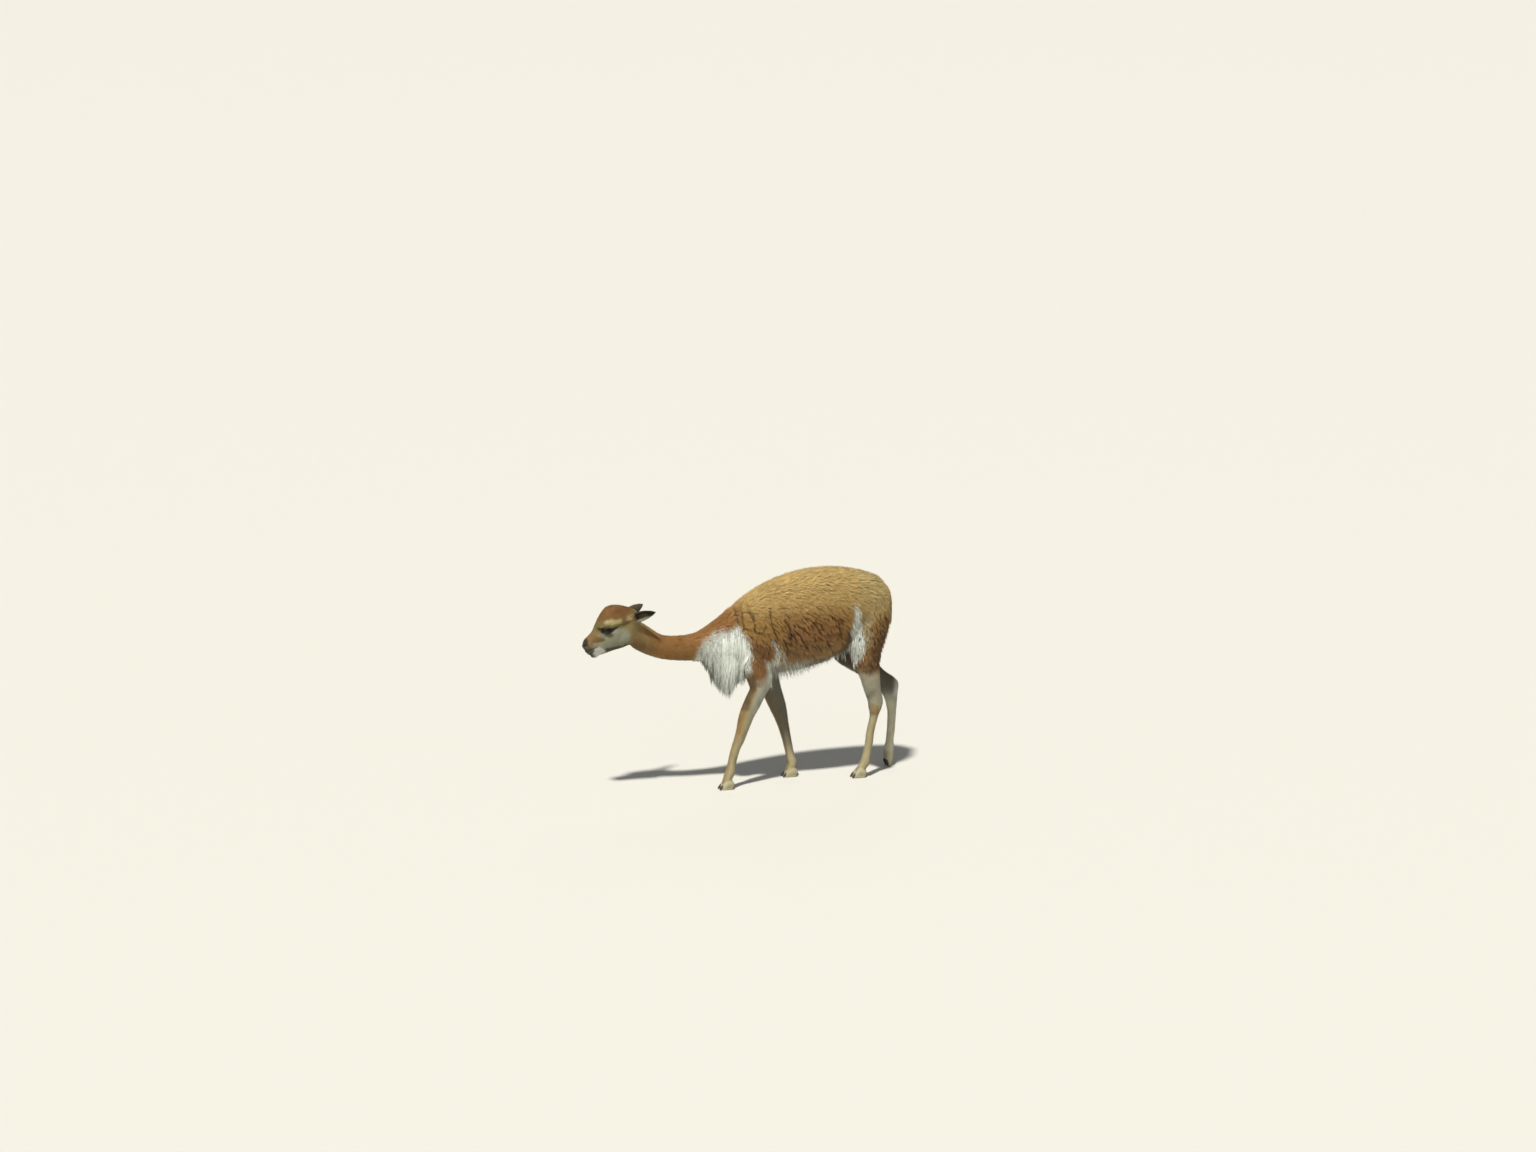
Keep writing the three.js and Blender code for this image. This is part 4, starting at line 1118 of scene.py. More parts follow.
def tuftTree():
    # stands a tuft on every point, along its own direction
    tree = newTree("plantTufts", [
        ("Tuft", "NodeSocketObject", None), ("Unevenness", "NodeSocketFloat", 0.15),
        ("Seed", "NodeSocketInt", 1),
        ("Fibre", "NodeSocketMaterial", None),
    ])
    given = addNode(tree, "NodeGroupInput").outputs
    shape = addNode(tree, "GeometryNodeObjectInfo", {"transform_space": "ORIGINAL"},
                    {"Object": given["Tuft"]})
    least = addNode(tree, "ShaderNodeMath", {"operation": "SUBTRACT"}, {0: 1.0, 1: given["Unevenness"]})
    most = addNode(tree, "ShaderNodeMath", {"operation": "ADD"}, {0: 1.0, 1: given["Unevenness"]})
    vary = addNode(tree, "FunctionNodeRandomValue", {"data_type": "FLOAT"},
                   {2: least.outputs[0], 3: most.outputs[0], 8: given["Seed"]})
    size = addNode(tree, "ShaderNodeVectorMath", {"operation": "SCALE"},
                   {0: named(tree, "FLOAT_VECTOR", "size"), "Scale": vary.outputs[1]})
    turn = addNode(tree, "FunctionNodeAxesToRotation", {"primary_axis": "Z", "secondary_axis": "X"}, {
        0: named(tree, "FLOAT_VECTOR", "way"), 1: named(tree, "FLOAT_VECTOR", "outward")})
    place = addNode(tree, "GeometryNodeInstanceOnPoints", None, {
        "Points": given["Geometry"], "Instance": shape.outputs["Geometry"], "Rotation": turn.outputs[0],
        "Scale": size.outputs[0]})
    real = addNode(tree, "GeometryNodeRealizeInstances", None, {"Geometry": place.outputs[0]})
    dressed = addNode(tree, "GeometryNodeSetMaterial", None,
                      {"Geometry": real.outputs[0], "Material": given["Fibre"]})
    addNode(tree, "NodeGroupOutput", None, {"Geometry": dressed.outputs[0]})
    return tree


def strandTree():
    # turns lines of points into flat tapering strands
    tree = newTree("drawStrands", [("Flatness", "NodeSocketFloat", 0.45),
                                   ("Fibre", "NodeSocketMaterial", None)])
    given = addNode(tree, "NodeGroupInput").outputs
    line = addNode(tree, "GeometryNodeMeshToCurve", None, {"Mesh": given["Geometry"]})
    ring = addNode(tree, "GeometryNodeCurvePrimitiveCircle", None, {"Resolution": 4, "Radius": 1.0})
    flat = addNode(tree, "ShaderNodeCombineXYZ", None, {"X": 1.0, "Y": given["Flatness"], "Z": 1.0})
    profile = addNode(tree, "GeometryNodeTransform", None,
                      {"Geometry": ring.outputs[0], "Scale": flat.outputs[0]})
    tube = addNode(tree, "GeometryNodeCurveToMesh", None, {
        "Curve": line.outputs[0], "Profile Curve": profile.outputs[0], "Fill Caps": True,
        "Scale": named(tree, "FLOAT", "thick")})
    real = addNode(tree, "GeometryNodeRealizeInstances", None, {"Geometry": tube.outputs[0]})
    dressed = addNode(tree, "GeometryNodeSetMaterial", None,
                      {"Geometry": real.outputs[0], "Material": given["Fibre"]})
    addNode(tree, "NodeGroupOutput", None, {"Geometry": dressed.outputs[0]})
    return tree


def grown(made, tree, values):
    # runs a tree on an object and keeps the result as a plain mesh
    run = made.modifiers.new("grow", "NODES")
    run.node_group = tree
    for item in tree.interface.items_tree:
        if item.item_type == "SOCKET" and item.in_out == "INPUT" and item.name in values:
            run[item.identifier] = values[item.name]
    return finished(made)


# Tufts: a curved lock with three sides, and a plain spike for short hair

def template(name, root, ring, tip):
    # root, ring and tip: height, half width, bulge outward
    # a root of no width makes a spindle, and no ring makes a spike
    verts, faces, spots = [], [], []
    wide = ring or root
    for k in range(3):
        a = (k + 0.5) * 2 * math.pi / 3
        verts.append((wide[2] + wide[1] * math.cos(a), wide[1] * math.sin(a), wide[0]))
    verts.append((tip[2], 0, tip[0]))
    if ring:
        verts.append((root[2], 0, root[0]))
    middle = max(wide[0], 0.0)
    for k in range(3):
        faces.append((k, (k + 1) % 3, 3))
        spots += [(k / 3, middle), ((k + 1) / 3, middle), ((k + 0.5) / 3, 1.0)]
        if ring:
            faces.append(((k + 1) % 3, k, 4))
            spots += [((k + 1) / 3, middle), (k / 3, middle), ((k + 0.5) / 3, 0.0)]
    if not ring:
        faces.append((2, 1, 0))
        spots += [(0.02, 0.02), (0.1, 0.02), (0.06, 0.08)]
    made = linked(name, newMesh(name, verts, [], faces))
    made.hide_render = True
    heights = np.clip(np.array([v[2] for v in verts]), 0, 1)
    triangles = sum(len(f) - 2 for f in faces)
    return {"object": made, "heights": heights, "spots": np.array(spots), "triangles": triangles}


tuft = {
    "lock": ((-0.14, 0.0, 0.0), (0.4, 0.5, 0.09), (1.0, 0.0, -0.03)),
    "hair": ((-0.14, 0.5, 0.0), None, (1.0, 0.0, 0.02)),
    "longFrom": 6.6,  # depth of coat from which tufts are locks
    "liftDepths": [0.5, 2, 4, 9, 18],
    "lifts": [12, 18, 22, 32, 42],  # degrees off the skin at those depths
    "patch": 0.003,  # across a tuft's own place in the unwrap
    "unevenness": 0.16,
    "clump": 13.5,  # across a clump of the fleece
    "spacingDepths": [0.5, 2, 4, 8, 18],
    "spacings": [1.55, 1.55, 1.8, 1.95, 2.36],
}


def thinned(points, cell, draw):
    # one point in each cell of a grid
    shift = draw.uniform(0, cell, 3)
    keys = np.floor((points + shift) / cell).astype(np.int64)
    # three large primes keep the cells apart
    code = (keys[:, 0] * 73856093) ^ (keys[:, 1] * 19349663) ^ (keys[:, 2] * 83492791)
    order = draw.permutation(len(points))
    first = np.unique(code[order], return_index=True)[1]
    return order[first]


def scatter(info, triangles, uv, draw):
    # candidate roots all over the skin, thinned by the depth of the coat there
    corner = info["points"][triangles]
    area = 0.5 * np.linalg.norm(np.cross(corner[:, 1] - corner[:, 0], corner[:, 2] - corner[:, 0]), axis=1)
    deep = info["depth"][triangles].mean(1)
    spacing = np.interp(deep, tuft["spacingDepths"], tuft["spacings"])
    weight = area / spacing**2 * (deep > 0.4)
    count = int(weight.sum() * 3.2)
    chosen = np.sort(draw.choice(len(triangles), count, p=weight / weight.sum()))
    a, b = draw.uniform(size=(2, count))
    flip = a + b > 1
    a[flip], b[flip] = 1 - a[flip], 1 - b[flip]
    mix = np.stack([1 - a - b, a, b], 1)

    def at(values):
        return (values[triangles[chosen]] * (mix[..., None] if values.ndim > 1 else mix)).sum(1)

    found = {name: at(info[name]) for name in ("points", "even", "way", "depth", "ear")}
    found["uv"] = (uv[chosen] * mix[..., None]).sum(1)
    found["kind"] = info["kind"][triangles[chosen, 0]]
    found["spacing"] = spacing[chosen]
    keep = []
    steps = np.geomspace(found["spacing"].min(), found["spacing"].max() + 1e-3, 9)
    for low, high in zip(steps[:-1], steps[1:]):
        some = np.where((found["spacing"] >= low) & (found["spacing"] < high))[0]
        if len(some):
            keep.append(some[thinned(found["points"][some], (low + high) / 2 * 1.2, draw)])
    keep = np.concatenate(keep)
    return {name: values[keep] for name, values in found.items()}


def combed(roots, draw):
    # direction, size and colour of each tuft, gathered into clumps where the fleece is deep
    points, normal, way, depth = roots["points"], unit(roots["even"]), unit(roots["way"]), roots["depth"]
    stray = draw.normal(0, 1, points.shape) * np.interp(depth, [2, 8, 18], [0.8, 2.5, 4.5])[:, None]
    colour, crack = markings(points + stray, normal, roots["kind"], roots["ear"])
    lift = np.radians(np.interp(depth, tuft["liftDepths"], tuft["lifts"]))
    lift *= draw.uniform(0.8, 1.15, len(points))
    side = np.cross(normal, way)
    curl = 7 * ripple(points, 60, 21) + (5 + 17 * crack) * ripple(points, 24, 22)
    sway = np.radians(draw.normal(0, 8, len(points)) + curl)
    along = way * np.cos(sway)[:, None] + side * np.sin(sway)[:, None]
    length = depth / np.sin(lift) * draw.uniform(0.85, 1.05, len(points))
    reach = along * np.cos(lift)[:, None] + normal * np.sin(lift)[:, None]
    deep = np.where(depth > 7.5)[0]
    # clumps are longer than wide, down the flank
    grain = np.array([0.26, 0, -0.966])
    warp = np.stack([ripple(points, 34, 31), 0 * crack, ripple(points, 34, 32)], 1) * 4.5
    flat = points + warp - 0.36 * (points @ grain)[:, None] * grain
    centres = deep[thinned(flat[deep], tuft["clump"], draw)]
    tree = treeOf(flat[centres])
    edge = np.zeros(len(points))
    for i in deep.tolist():
        near = tree.find_n(flat[i], 2)
        if len(near) < 2:
            continue
        c = centres[near[0][1]]
        edge[i] = near[0][2] / (near[1][2] + 1e-6)
        aim = points[c] + reach[c] * length[c] * 1.05 - points[i]
        pull = 0.1 + 0.5 * crack[i]
        reach[i] = reach[i] * length[i] * (1 - pull) + aim * pull
    reach = unit(reach)
    gap = step(edge, 0.64, 0.98)
    length = length * (1 - gap * (0.05 + 0.5 * crack))
    # darker reddish curls between paler ones: partly the wool's own tone, partly painted shade and painted
    # highlight
    curls = ripple(flat * [1, 0.7, 1], 15, 33) * crack * (depth > 7.5)
    colour = colour + (linear(coat["flankRedShade"]) - colour) * (0.6 * step(-curls, 0.15, 1.0))[:, None]
    colour = colour + (linear(coat["flankPaleHighlight"]) - colour) * (0.45 * step(curls, 0.3, 1.1))[:, None]
    fold = creaseShare(points + reach * length[:, None] * 0.55) * (depth > 7.5)
    length = length * (1 - 0.35 * fold)
    # the gaps between clumps and the folds along the creases are darkened: painted shade
    shade = (1 - gap * (0.03 + 0.72 * crack) * (depth > 7.5)) * (1 - 0.72 * fold)
    colour = colour * (shade * (1 + draw.normal(0, 0.07, len(points)))
                       * (1 + 0.05 * ripple(points, 45, 23)))[:, None]
    colour = np.clip(colour, 0.005, 1)
    wide = np.where(depth > tuft["longFrom"], 1.0 + 0.085 * length, 0.7 + 0.115 * length)
    outward = unit(normal - (normal * reach).sum(1)[:, None] * reach)
    return {"reach": reach, "outward": outward, "length": length, "wide": wide, "colour": colour}


def setAttribute(mesh, name, kind, values):
    # one value for each vertex
    layer = mesh.attributes.new(name, kind, "POINT")
    key = {"FLOAT_VECTOR": "vector", "FLOAT": "value", "FLOAT_COLOR": "color"}[kind]
    layer.data.foreach_set(key, np.ascontiguousarray(values, np.float32).ravel())


def setColour(mesh, name, colour):
    setAttribute(mesh, name, "FLOAT_COLOR", np.concatenate([colour, np.ones((len(colour), 1))], 1))


def setBakeUv(mesh, spots):
    layer = mesh.uv_layers.new(name="OFBake")
    layer.data.foreach_set("uv", spots.astype(np.float32).ravel())


def dropAttributes(mesh, *names):
    for name in names:
        if name in mesh.attributes:
            mesh.attributes.remove(mesh.attributes[name])


def plant(name, roots, hair, some, form, tree, fibre):
    # one piece of the coat
    points = newMesh(name, toWorld(roots["points"][some]).tolist(), [], [])
    made = linked(name, points)
    long = hair["length"][some] * 0.001
    wide = hair["wide"][some] * 0.001
    setAttribute(points, "way", "FLOAT_VECTOR", hair["reach"][some])
    setAttribute(points, "outward", "FLOAT_VECTOR", hair["outward"][some])
    setAttribute(points, "size", "FLOAT_VECTOR", np.stack([wide * 0.6, wide, long], 1))
    grown(made, tree, {"Tuft": form["object"], "Unevenness": tuft["unevenness"], "Seed": body["seed"],
                       "Fibre": fibre})
    mesh = made.data
    dropAttributes(mesh, "way", "outward", "size")
    count, each = len(some), len(form["heights"])
    if len(mesh.vertices) != count * each:
        raise ValueError(f"{name}: {len(mesh.vertices)} vertices for {count} tufts")
    heights = np.tile(form["heights"], count)
    colour = np.repeat(hair["colour"][some], each, 0)
    # each tuft is darker at its root and paler at its tip: partly the wool's own bleached tips, partly
    # painted shade deep in the coat
    deep = np.repeat(step(roots["depth"][some], 5, 14), each)
    low = 1 - (0.14 + 0.14 * deep) * (1 - np.minimum(heights * 1.6, 1))
    pale = 1 + 0.08 * heights * deep
    setColour(mesh, "coat", np.clip(colour * (low * pale)[:, None], 0, 1))
    spots = np.tile(form["spots"], (count, 1))
    setBakeUv(mesh, np.repeat(roots["uv"][some], len(form["spots"]), 0) + (spots - 0.5) * tuft["patch"])
    smoothShaded(mesh)
    # the light falls on the tufts nearly as on the body under them
    own = pulled(mesh.vertex_normals, "vector", 3).astype(float)
    lean = unit(own * 0.3 + np.repeat(unit(roots["even"][some]), each, 0) * 0.9)
    mesh.normals_split_custom_set_from_vertices(lean.tolist())
    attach(made, "root")
    print("coat piece:", name, count, "tufts")
    return made


# Materials

def newMaterial(name):
    made = bpy.data.materials.new(name)
    made.use_nodes = True
    tree = made.node_tree
    tree.nodes.clear()
    shader = addNode(tree, "ShaderNodeBsdfPrincipled")
    addNode(tree, "ShaderNodeOutputMaterial", None, {"Surface": shader.outputs[0]})
    return made, tree, shader


def light(code):
    return (*linear(code), 1.0)


def mottledCoat(tree, scale, detail, low, high):
    # the coat's colour, a little darker and lighter by a noise of so many waves in a metre
    colour = addNode(tree, "ShaderNodeAttribute", {"attribute_name": "coat"}).outputs["Color"]
    where = addNode(tree, "ShaderNodeTexCoord").outputs["Object"]
    noise = addNode(tree, "ShaderNodeTexNoise", None,
                    {"Vector": where, "Scale": scale, "Detail": detail}).outputs[0]
    span = addNode(tree, "ShaderNodeMapRange", None, {
        "Value": noise, "From Min": 0.3, "From Max": 0.7, "To Min": low, "To Max": high}).outputs[0]
    return addNode(tree, "ShaderNodeVectorMath", {"operation": "SCALE"},
                   {0: colour, "Scale": span}).outputs[0]


def coatedHide():
    # tanned hide under the coat, matt, and the bare skin of nose and lips, moist
    # its mottling is about 6 mm across, and the pores of the bare skin 1.4 mm
    made, tree, shader = newMaterial("coatedHide")
    tint = mottledCoat(tree, 160.0, 4.0, 0.82, 1.1)
    bare = addNode(tree, "ShaderNodeAttribute", {"attribute_name": "bare"})
    where = addNode(tree, "ShaderNodeTexCoord").outputs["Object"]
    grain = addNode(tree, "ShaderNodeTexVoronoi", {"feature": "DISTANCE_TO_EDGE"},
                    {"Vector": where, "Scale": 700.0})
    rough = addNode(tree, "ShaderNodeMapRange", None,
                    {"Value": bare.outputs["Fac"], "To Min": 0.85, "To Max": 0.5})
    pits = addNode(tree, "ShaderNodeMath", {"operation": "MULTIPLY"},
                   {0: grain.outputs["Distance"], 1: bare.outputs["Fac"]})
    bump = addNode(tree, "ShaderNodeBump", None,
                   {"Strength": 0.5, "Distance": 0.0004, "Height": pits.outputs[0]})
    tree.links.new(tint, shader.inputs["Base Color"])
    tree.links.new(rough.outputs[0], shader.inputs["Roughness"])
    tree.links.new(bump.outputs[0], shader.inputs["Normal"])
    shader.inputs["Specular IOR Level"].default_value = 0.22
    return made


def fibreMaterial(name, roughness, sheen, tint, streak):
    # hair: its colour runs along each fibre, finely streaked, with the soft bloom of fine wool
    # the streaks are 1.1 to 1.4 mm apart, many fibres to one, because single fibres are too fine to show
    made, tree, shader = newMaterial(name)
    tree.links.new(mottledCoat(tree, streak, 3.0, 0.84, 1.12), shader.inputs["Base Color"])
    shader.inputs["Roughness"].default_value = roughness
    shader.inputs["Specular IOR Level"].default_value = 0.22
    shader.inputs["Sheen Weight"].default_value = sheen
    shader.inputs["Sheen Roughness"].default_value = 0.5
    shader.inputs["Sheen Tint"].default_value = light(tint)
    return made


def wetCornea():
    # a dark wet eye: brown iris under a clear smooth cornea, with a long level pupil
    made, tree, shader = newMaterial("wetCornea")
    colour = addNode(tree, "ShaderNodeAttribute", {"attribute_name": "iris"})
    tree.links.new(colour.outputs["Color"], shader.inputs["Base Color"])
    shader.inputs["Roughness"].default_value = 0.07
    shader.inputs["IOR"].default_value = 1.38
    shader.inputs["Specular IOR Level"].default_value = 0.3
    shader.inputs["Coat Weight"].default_value = 0.25
    shader.inputs["Coat Roughness"].default_value = 0.03
    return made


def hoofHorn():
    # keratin of the nails: dark horn with growth lines about 1 mm apart along it, worn dull
    made, tree, shader = newMaterial("hoofHorn")
    where = addNode(tree, "ShaderNodeTexCoord")
    place = addNode(tree, "ShaderNodeMapping", None,
                    {"Vector": where.outputs["Object"], "Scale": (90.0, 900.0, 260.0)})
    lines = addNode(tree, "ShaderNodeTexNoise", None,
                    {"Vector": place.outputs[0], "Scale": 1.0, "Detail": 5.0})
    ramp = addNode(tree, "ShaderNodeMix", {"data_type": "RGBA"},
                   {0: lines.outputs[0], 6: light("1C1612"), 7: light("4A3D30")})
    rough = addNode(tree, "ShaderNodeMapRange", None,
                    {"Value": lines.outputs[0], "To Min": 0.42, "To Max": 0.7})
    bump = addNode(tree, "ShaderNodeBump", None,
                   {"Strength": 0.4, "Distance": 0.0003, "Height": lines.outputs[0]})
    tree.links.new(ramp.outputs[2], shader.inputs["Base Color"])
    tree.links.new(rough.outputs[0], shader.inputs["Roughness"])
    tree.links.new(bump.outputs[0], shader.inputs["Normal"])
    return made


def lidSkin():
    # hairless rim of the eyelids: thin dark moist skin, grained 2 mm across
    made, tree, shader = newMaterial("lidSkin")
    where = addNode(tree, "ShaderNodeTexCoord")
    fine = addNode(tree, "ShaderNodeTexNoise", None, {"Vector": where.outputs["Object"], "Scale": 500.0})
    ramp = addNode(tree, "ShaderNodeMix", {"data_type": "RGBA"},
                   {0: fine.outputs[0], 6: light("17100C"), 7: light("2E221B")})
    tree.links.new(ramp.outputs[2], shader.inputs["Base Color"])
    shader.inputs["Roughness"].default_value = 0.4
    return made


# Skin

def dressSkin(made, info):
    # the skin's colours, darker under deep wool, in the cracks between clumps and in the openings: painted
    # shade
    mesh = made.data
    colour, crack = markings(info["points"], info["even"], info["kind"], info["ear"])
    u, v, w = headFrame(info["points"])
    onHead = info["kind"] == formNames.index("head")
    deep = step(info["depth"], 4, 14)
    colour = colour * (1 - 0.35 * deep)[:, None]
    colour = colour + (linear(coat["crack"]) - colour) * (crack * deep * 0.75)[:, None]
    hole = (1 - step(nostrilShare(info["points"]), 0.5, 0.95)) * onHead * (u > 190)
    hole = np.maximum(hole, (1 - step(eyeSlit(info["points"]), 0.98, 1.12)) * onHead)
    colour = colour * (1 - 0.85 * hole)[:, None]
    rim = 1 - step(eyeSlit(info["points"]), 1.1, 1.3)
    setColour(mesh, "coat", colour)
    setAttribute(mesh, "bare", "FLOAT", onHead * np.maximum(step(u, 198, 206) * step(v, -34, -26), rim))
    mesh.materials.clear()
    mesh.materials.append(coatedHide())


# Long hair

strands = {
    # how many, points along each, half width and its spread, length, lean and wave of the fall,
    # how far they close in below, the part of the coat's depth that they clear,
    # and their locks: how far apart those are, and how far the strands gather into them
    "bib": {"count": 2500, "segments": 9, "thick": 1.3, "spread": (0.7, 1.3), "drift": 0.02, "wave": 3.6,
            "narrow": 0.3, "over": 1.05, "cell": 14.0, "share": 0.72},
    "belly": {"count": 1500, "segments": 4, "thick": 1.05, "spread": (0.7, 1.2), "long": (22, 56),
              "drift": 0.2, "wave": 3.0, "narrow": 0.0, "over": 0.85, "cell": 15.0, "share": 0.78},
    "streak": {"count": 500, "segments": 4, "thick": 1.5, "spread": (0.7, 1.2), "long": (28, 52),
               "drift": 0.1, "wave": 1.4, "narrow": 0.0, "over": 0.85, "cell": 12.0, "share": 0.4},
    "tail": {"count": 420, "segments": 5, "thick": 1.0, "spread": (1.2, 2.0), "long": (40, 75),
             "drift": 0.0, "wave": 1.6, "narrow": 0.25, "over": 0.85, "cell": 12.0, "share": 0.4},
    "lashes": {"count": 26, "segments": 4, "thick": 0.28, "long": 15.0},
    "bibEdge": [(-530, 570), (-505, 556), (-491, 544), (-483, 522), (-470, 500), (-453, 478), (-444, 430),
                (-423, 420), (-401, 386), (-384, 371), (-371, 412), (-353, 436), (-332, 430), (-306, 456),
                (-288, 482)],
    "flatness": 0.45,
    "lie": 0.35,  # how far a strand follows the skin's hair before it hangs
}


def drawStrands(name, lines, thick, colours, uvs, tree, fibre, flatness=strands["flatness"],
                lowShade=0.0):
    # lines: strands x points x 3, in millimetres; each one tapers to its tip
    count, long = lines.shape[:2]
    first = (np.arange(count) * long)[:, None] + np.arange(long - 1)[None, :]
    edges = np.stack([first, first + 1], -1).reshape(-1, 2)
    mesh = newMesh(name, toWorld(lines.reshape(-1, 3)).tolist(), edges.tolist(), [])
    made = linked(name, mesh)
    t = np.linspace(0, 1, long)
    taper = (0.55 + 0.45 * np.minimum(t * 4, 1)) * (1 - t**2.2) + 0.06
    setAttribute(mesh, "thick", "FLOAT", (thick[:, None] * taper[None, :]).ravel() * 0.001)
    setAttribute(mesh, "along", "FLOAT", np.tile(t, count))
    rootUv = np.concatenate([uvs, np.zeros((count, 1))], 1)
    setAttribute(mesh, "rootUv", "FLOAT_VECTOR", np.repeat(rootUv, long, 0))
    # each strand is darker at its root, and darker low down by lowShade: painted shade
    low = 1 - step(lines[..., 2], 400, 600)
    shade = (0.74 + 0.3 * np.minimum(t * 1.8, 1))[None, :] * (1 - lowShade * low)
    setColour(mesh, "coat", np.clip(colours[:, None, :] * shade[..., None], 0, 1).reshape(-1, 3))
    grown(made, tree, {"Flatness": flatness, "Fibre": fibre})
    mesh = made.data
    along = pulled(mesh.attributes["along"].data, "value", 1)[:, 0]
    root = pulled(mesh.attributes["rootUv"].data, "vector", 3)[:, :2]
    quads = pulled(mesh.loops, "vertex_index", 1, np.int32).reshape(-1, 4)
    # a strand's four sides lie side by side in its place in the unwrap, and its ends in a corner of it
    around = (quads % 4).astype(float)
    wraps = (around.max(1) - around.min(1)) == 3
    around[wraps] = np.where(around[wraps] == 0, 4, around[wraps])
    spot = np.stack([around / 4, along[quads]], -1)
    cap = np.ptp(along[quads], axis=1) < 1e-6
    spot[cap] = np.array([(0.02, 0.02), (0.1, 0.02), (0.1, 0.1), (0.02, 0.1)])
    setBakeUv(mesh, root[quads] + (spot - 0.5) * tuft["patch"])
    dropAttributes(mesh, "thick", "along", "rootUv")
    smoothShaded(mesh)
    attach(made, "root")
    print("long hair:", name, count, "strands")
    return made


def kept(points, clear, floor):
    # pushes a line of hair out of the skin and the coat it hangs past
    out = points.copy()
    for i in range(len(out)):
        spot, normal, _, away = floor.find_nearest(Vector(out[i]))
        if spot is None:
            continue
        off = Vector(out[i]) - spot
        room = clear[i] - off.dot(normal)
        if room > 0 and away < 60:
            out[i] += np.array(normal) * room
    return out


def hangingLines(roots, some, longs, spec, floor, draw):
    # strands that leave the skin along its hair and then hang
    lines = np.empty((len(some), spec["segments"] + 1, 3))
    t = np.linspace(0, 1, spec["segments"] + 1)
    fall = np.array([spec["drift"], 0, -1.0])
    for row, i in enumerate(some.tolist()):
        root = roots["points"][i]
        normal, way = unit(roots["even"][i]), unit(roots["way"][i])
        long = longs[row]
        leave = way * strands["lie"] + normal * 0.5
        ease = np.minimum(t * long, 30)
        phase = draw.uniform(0, 2 * math.pi, 2)
        swing = spec["wave"] * t * np.stack([np.sin(t * long / 17 + phase[0]),
                                             np.cos(t * long / 21 + phase[1]), 0 * t], 0)
        path = root - normal * 1.5 + np.outer(ease * (1 - 0.5 * ease / 60), leave * 0.8)
        path = path + np.outer(long * (t - 0.06 * np.sin(t * math.pi)), fall) + swing.T
        path[:, 1] -= spec["narrow"] * path[:, 1] * t**1.5
        lines[row] = path
        clear = 3.0 + (roots["depth"][i] * spec["over"] - 3.0) * np.minimum(t * long / 26, 1)
        lines[row, 1:] = kept(path[1:], np.maximum(clear[1:], 3.0), floor)
    return lines


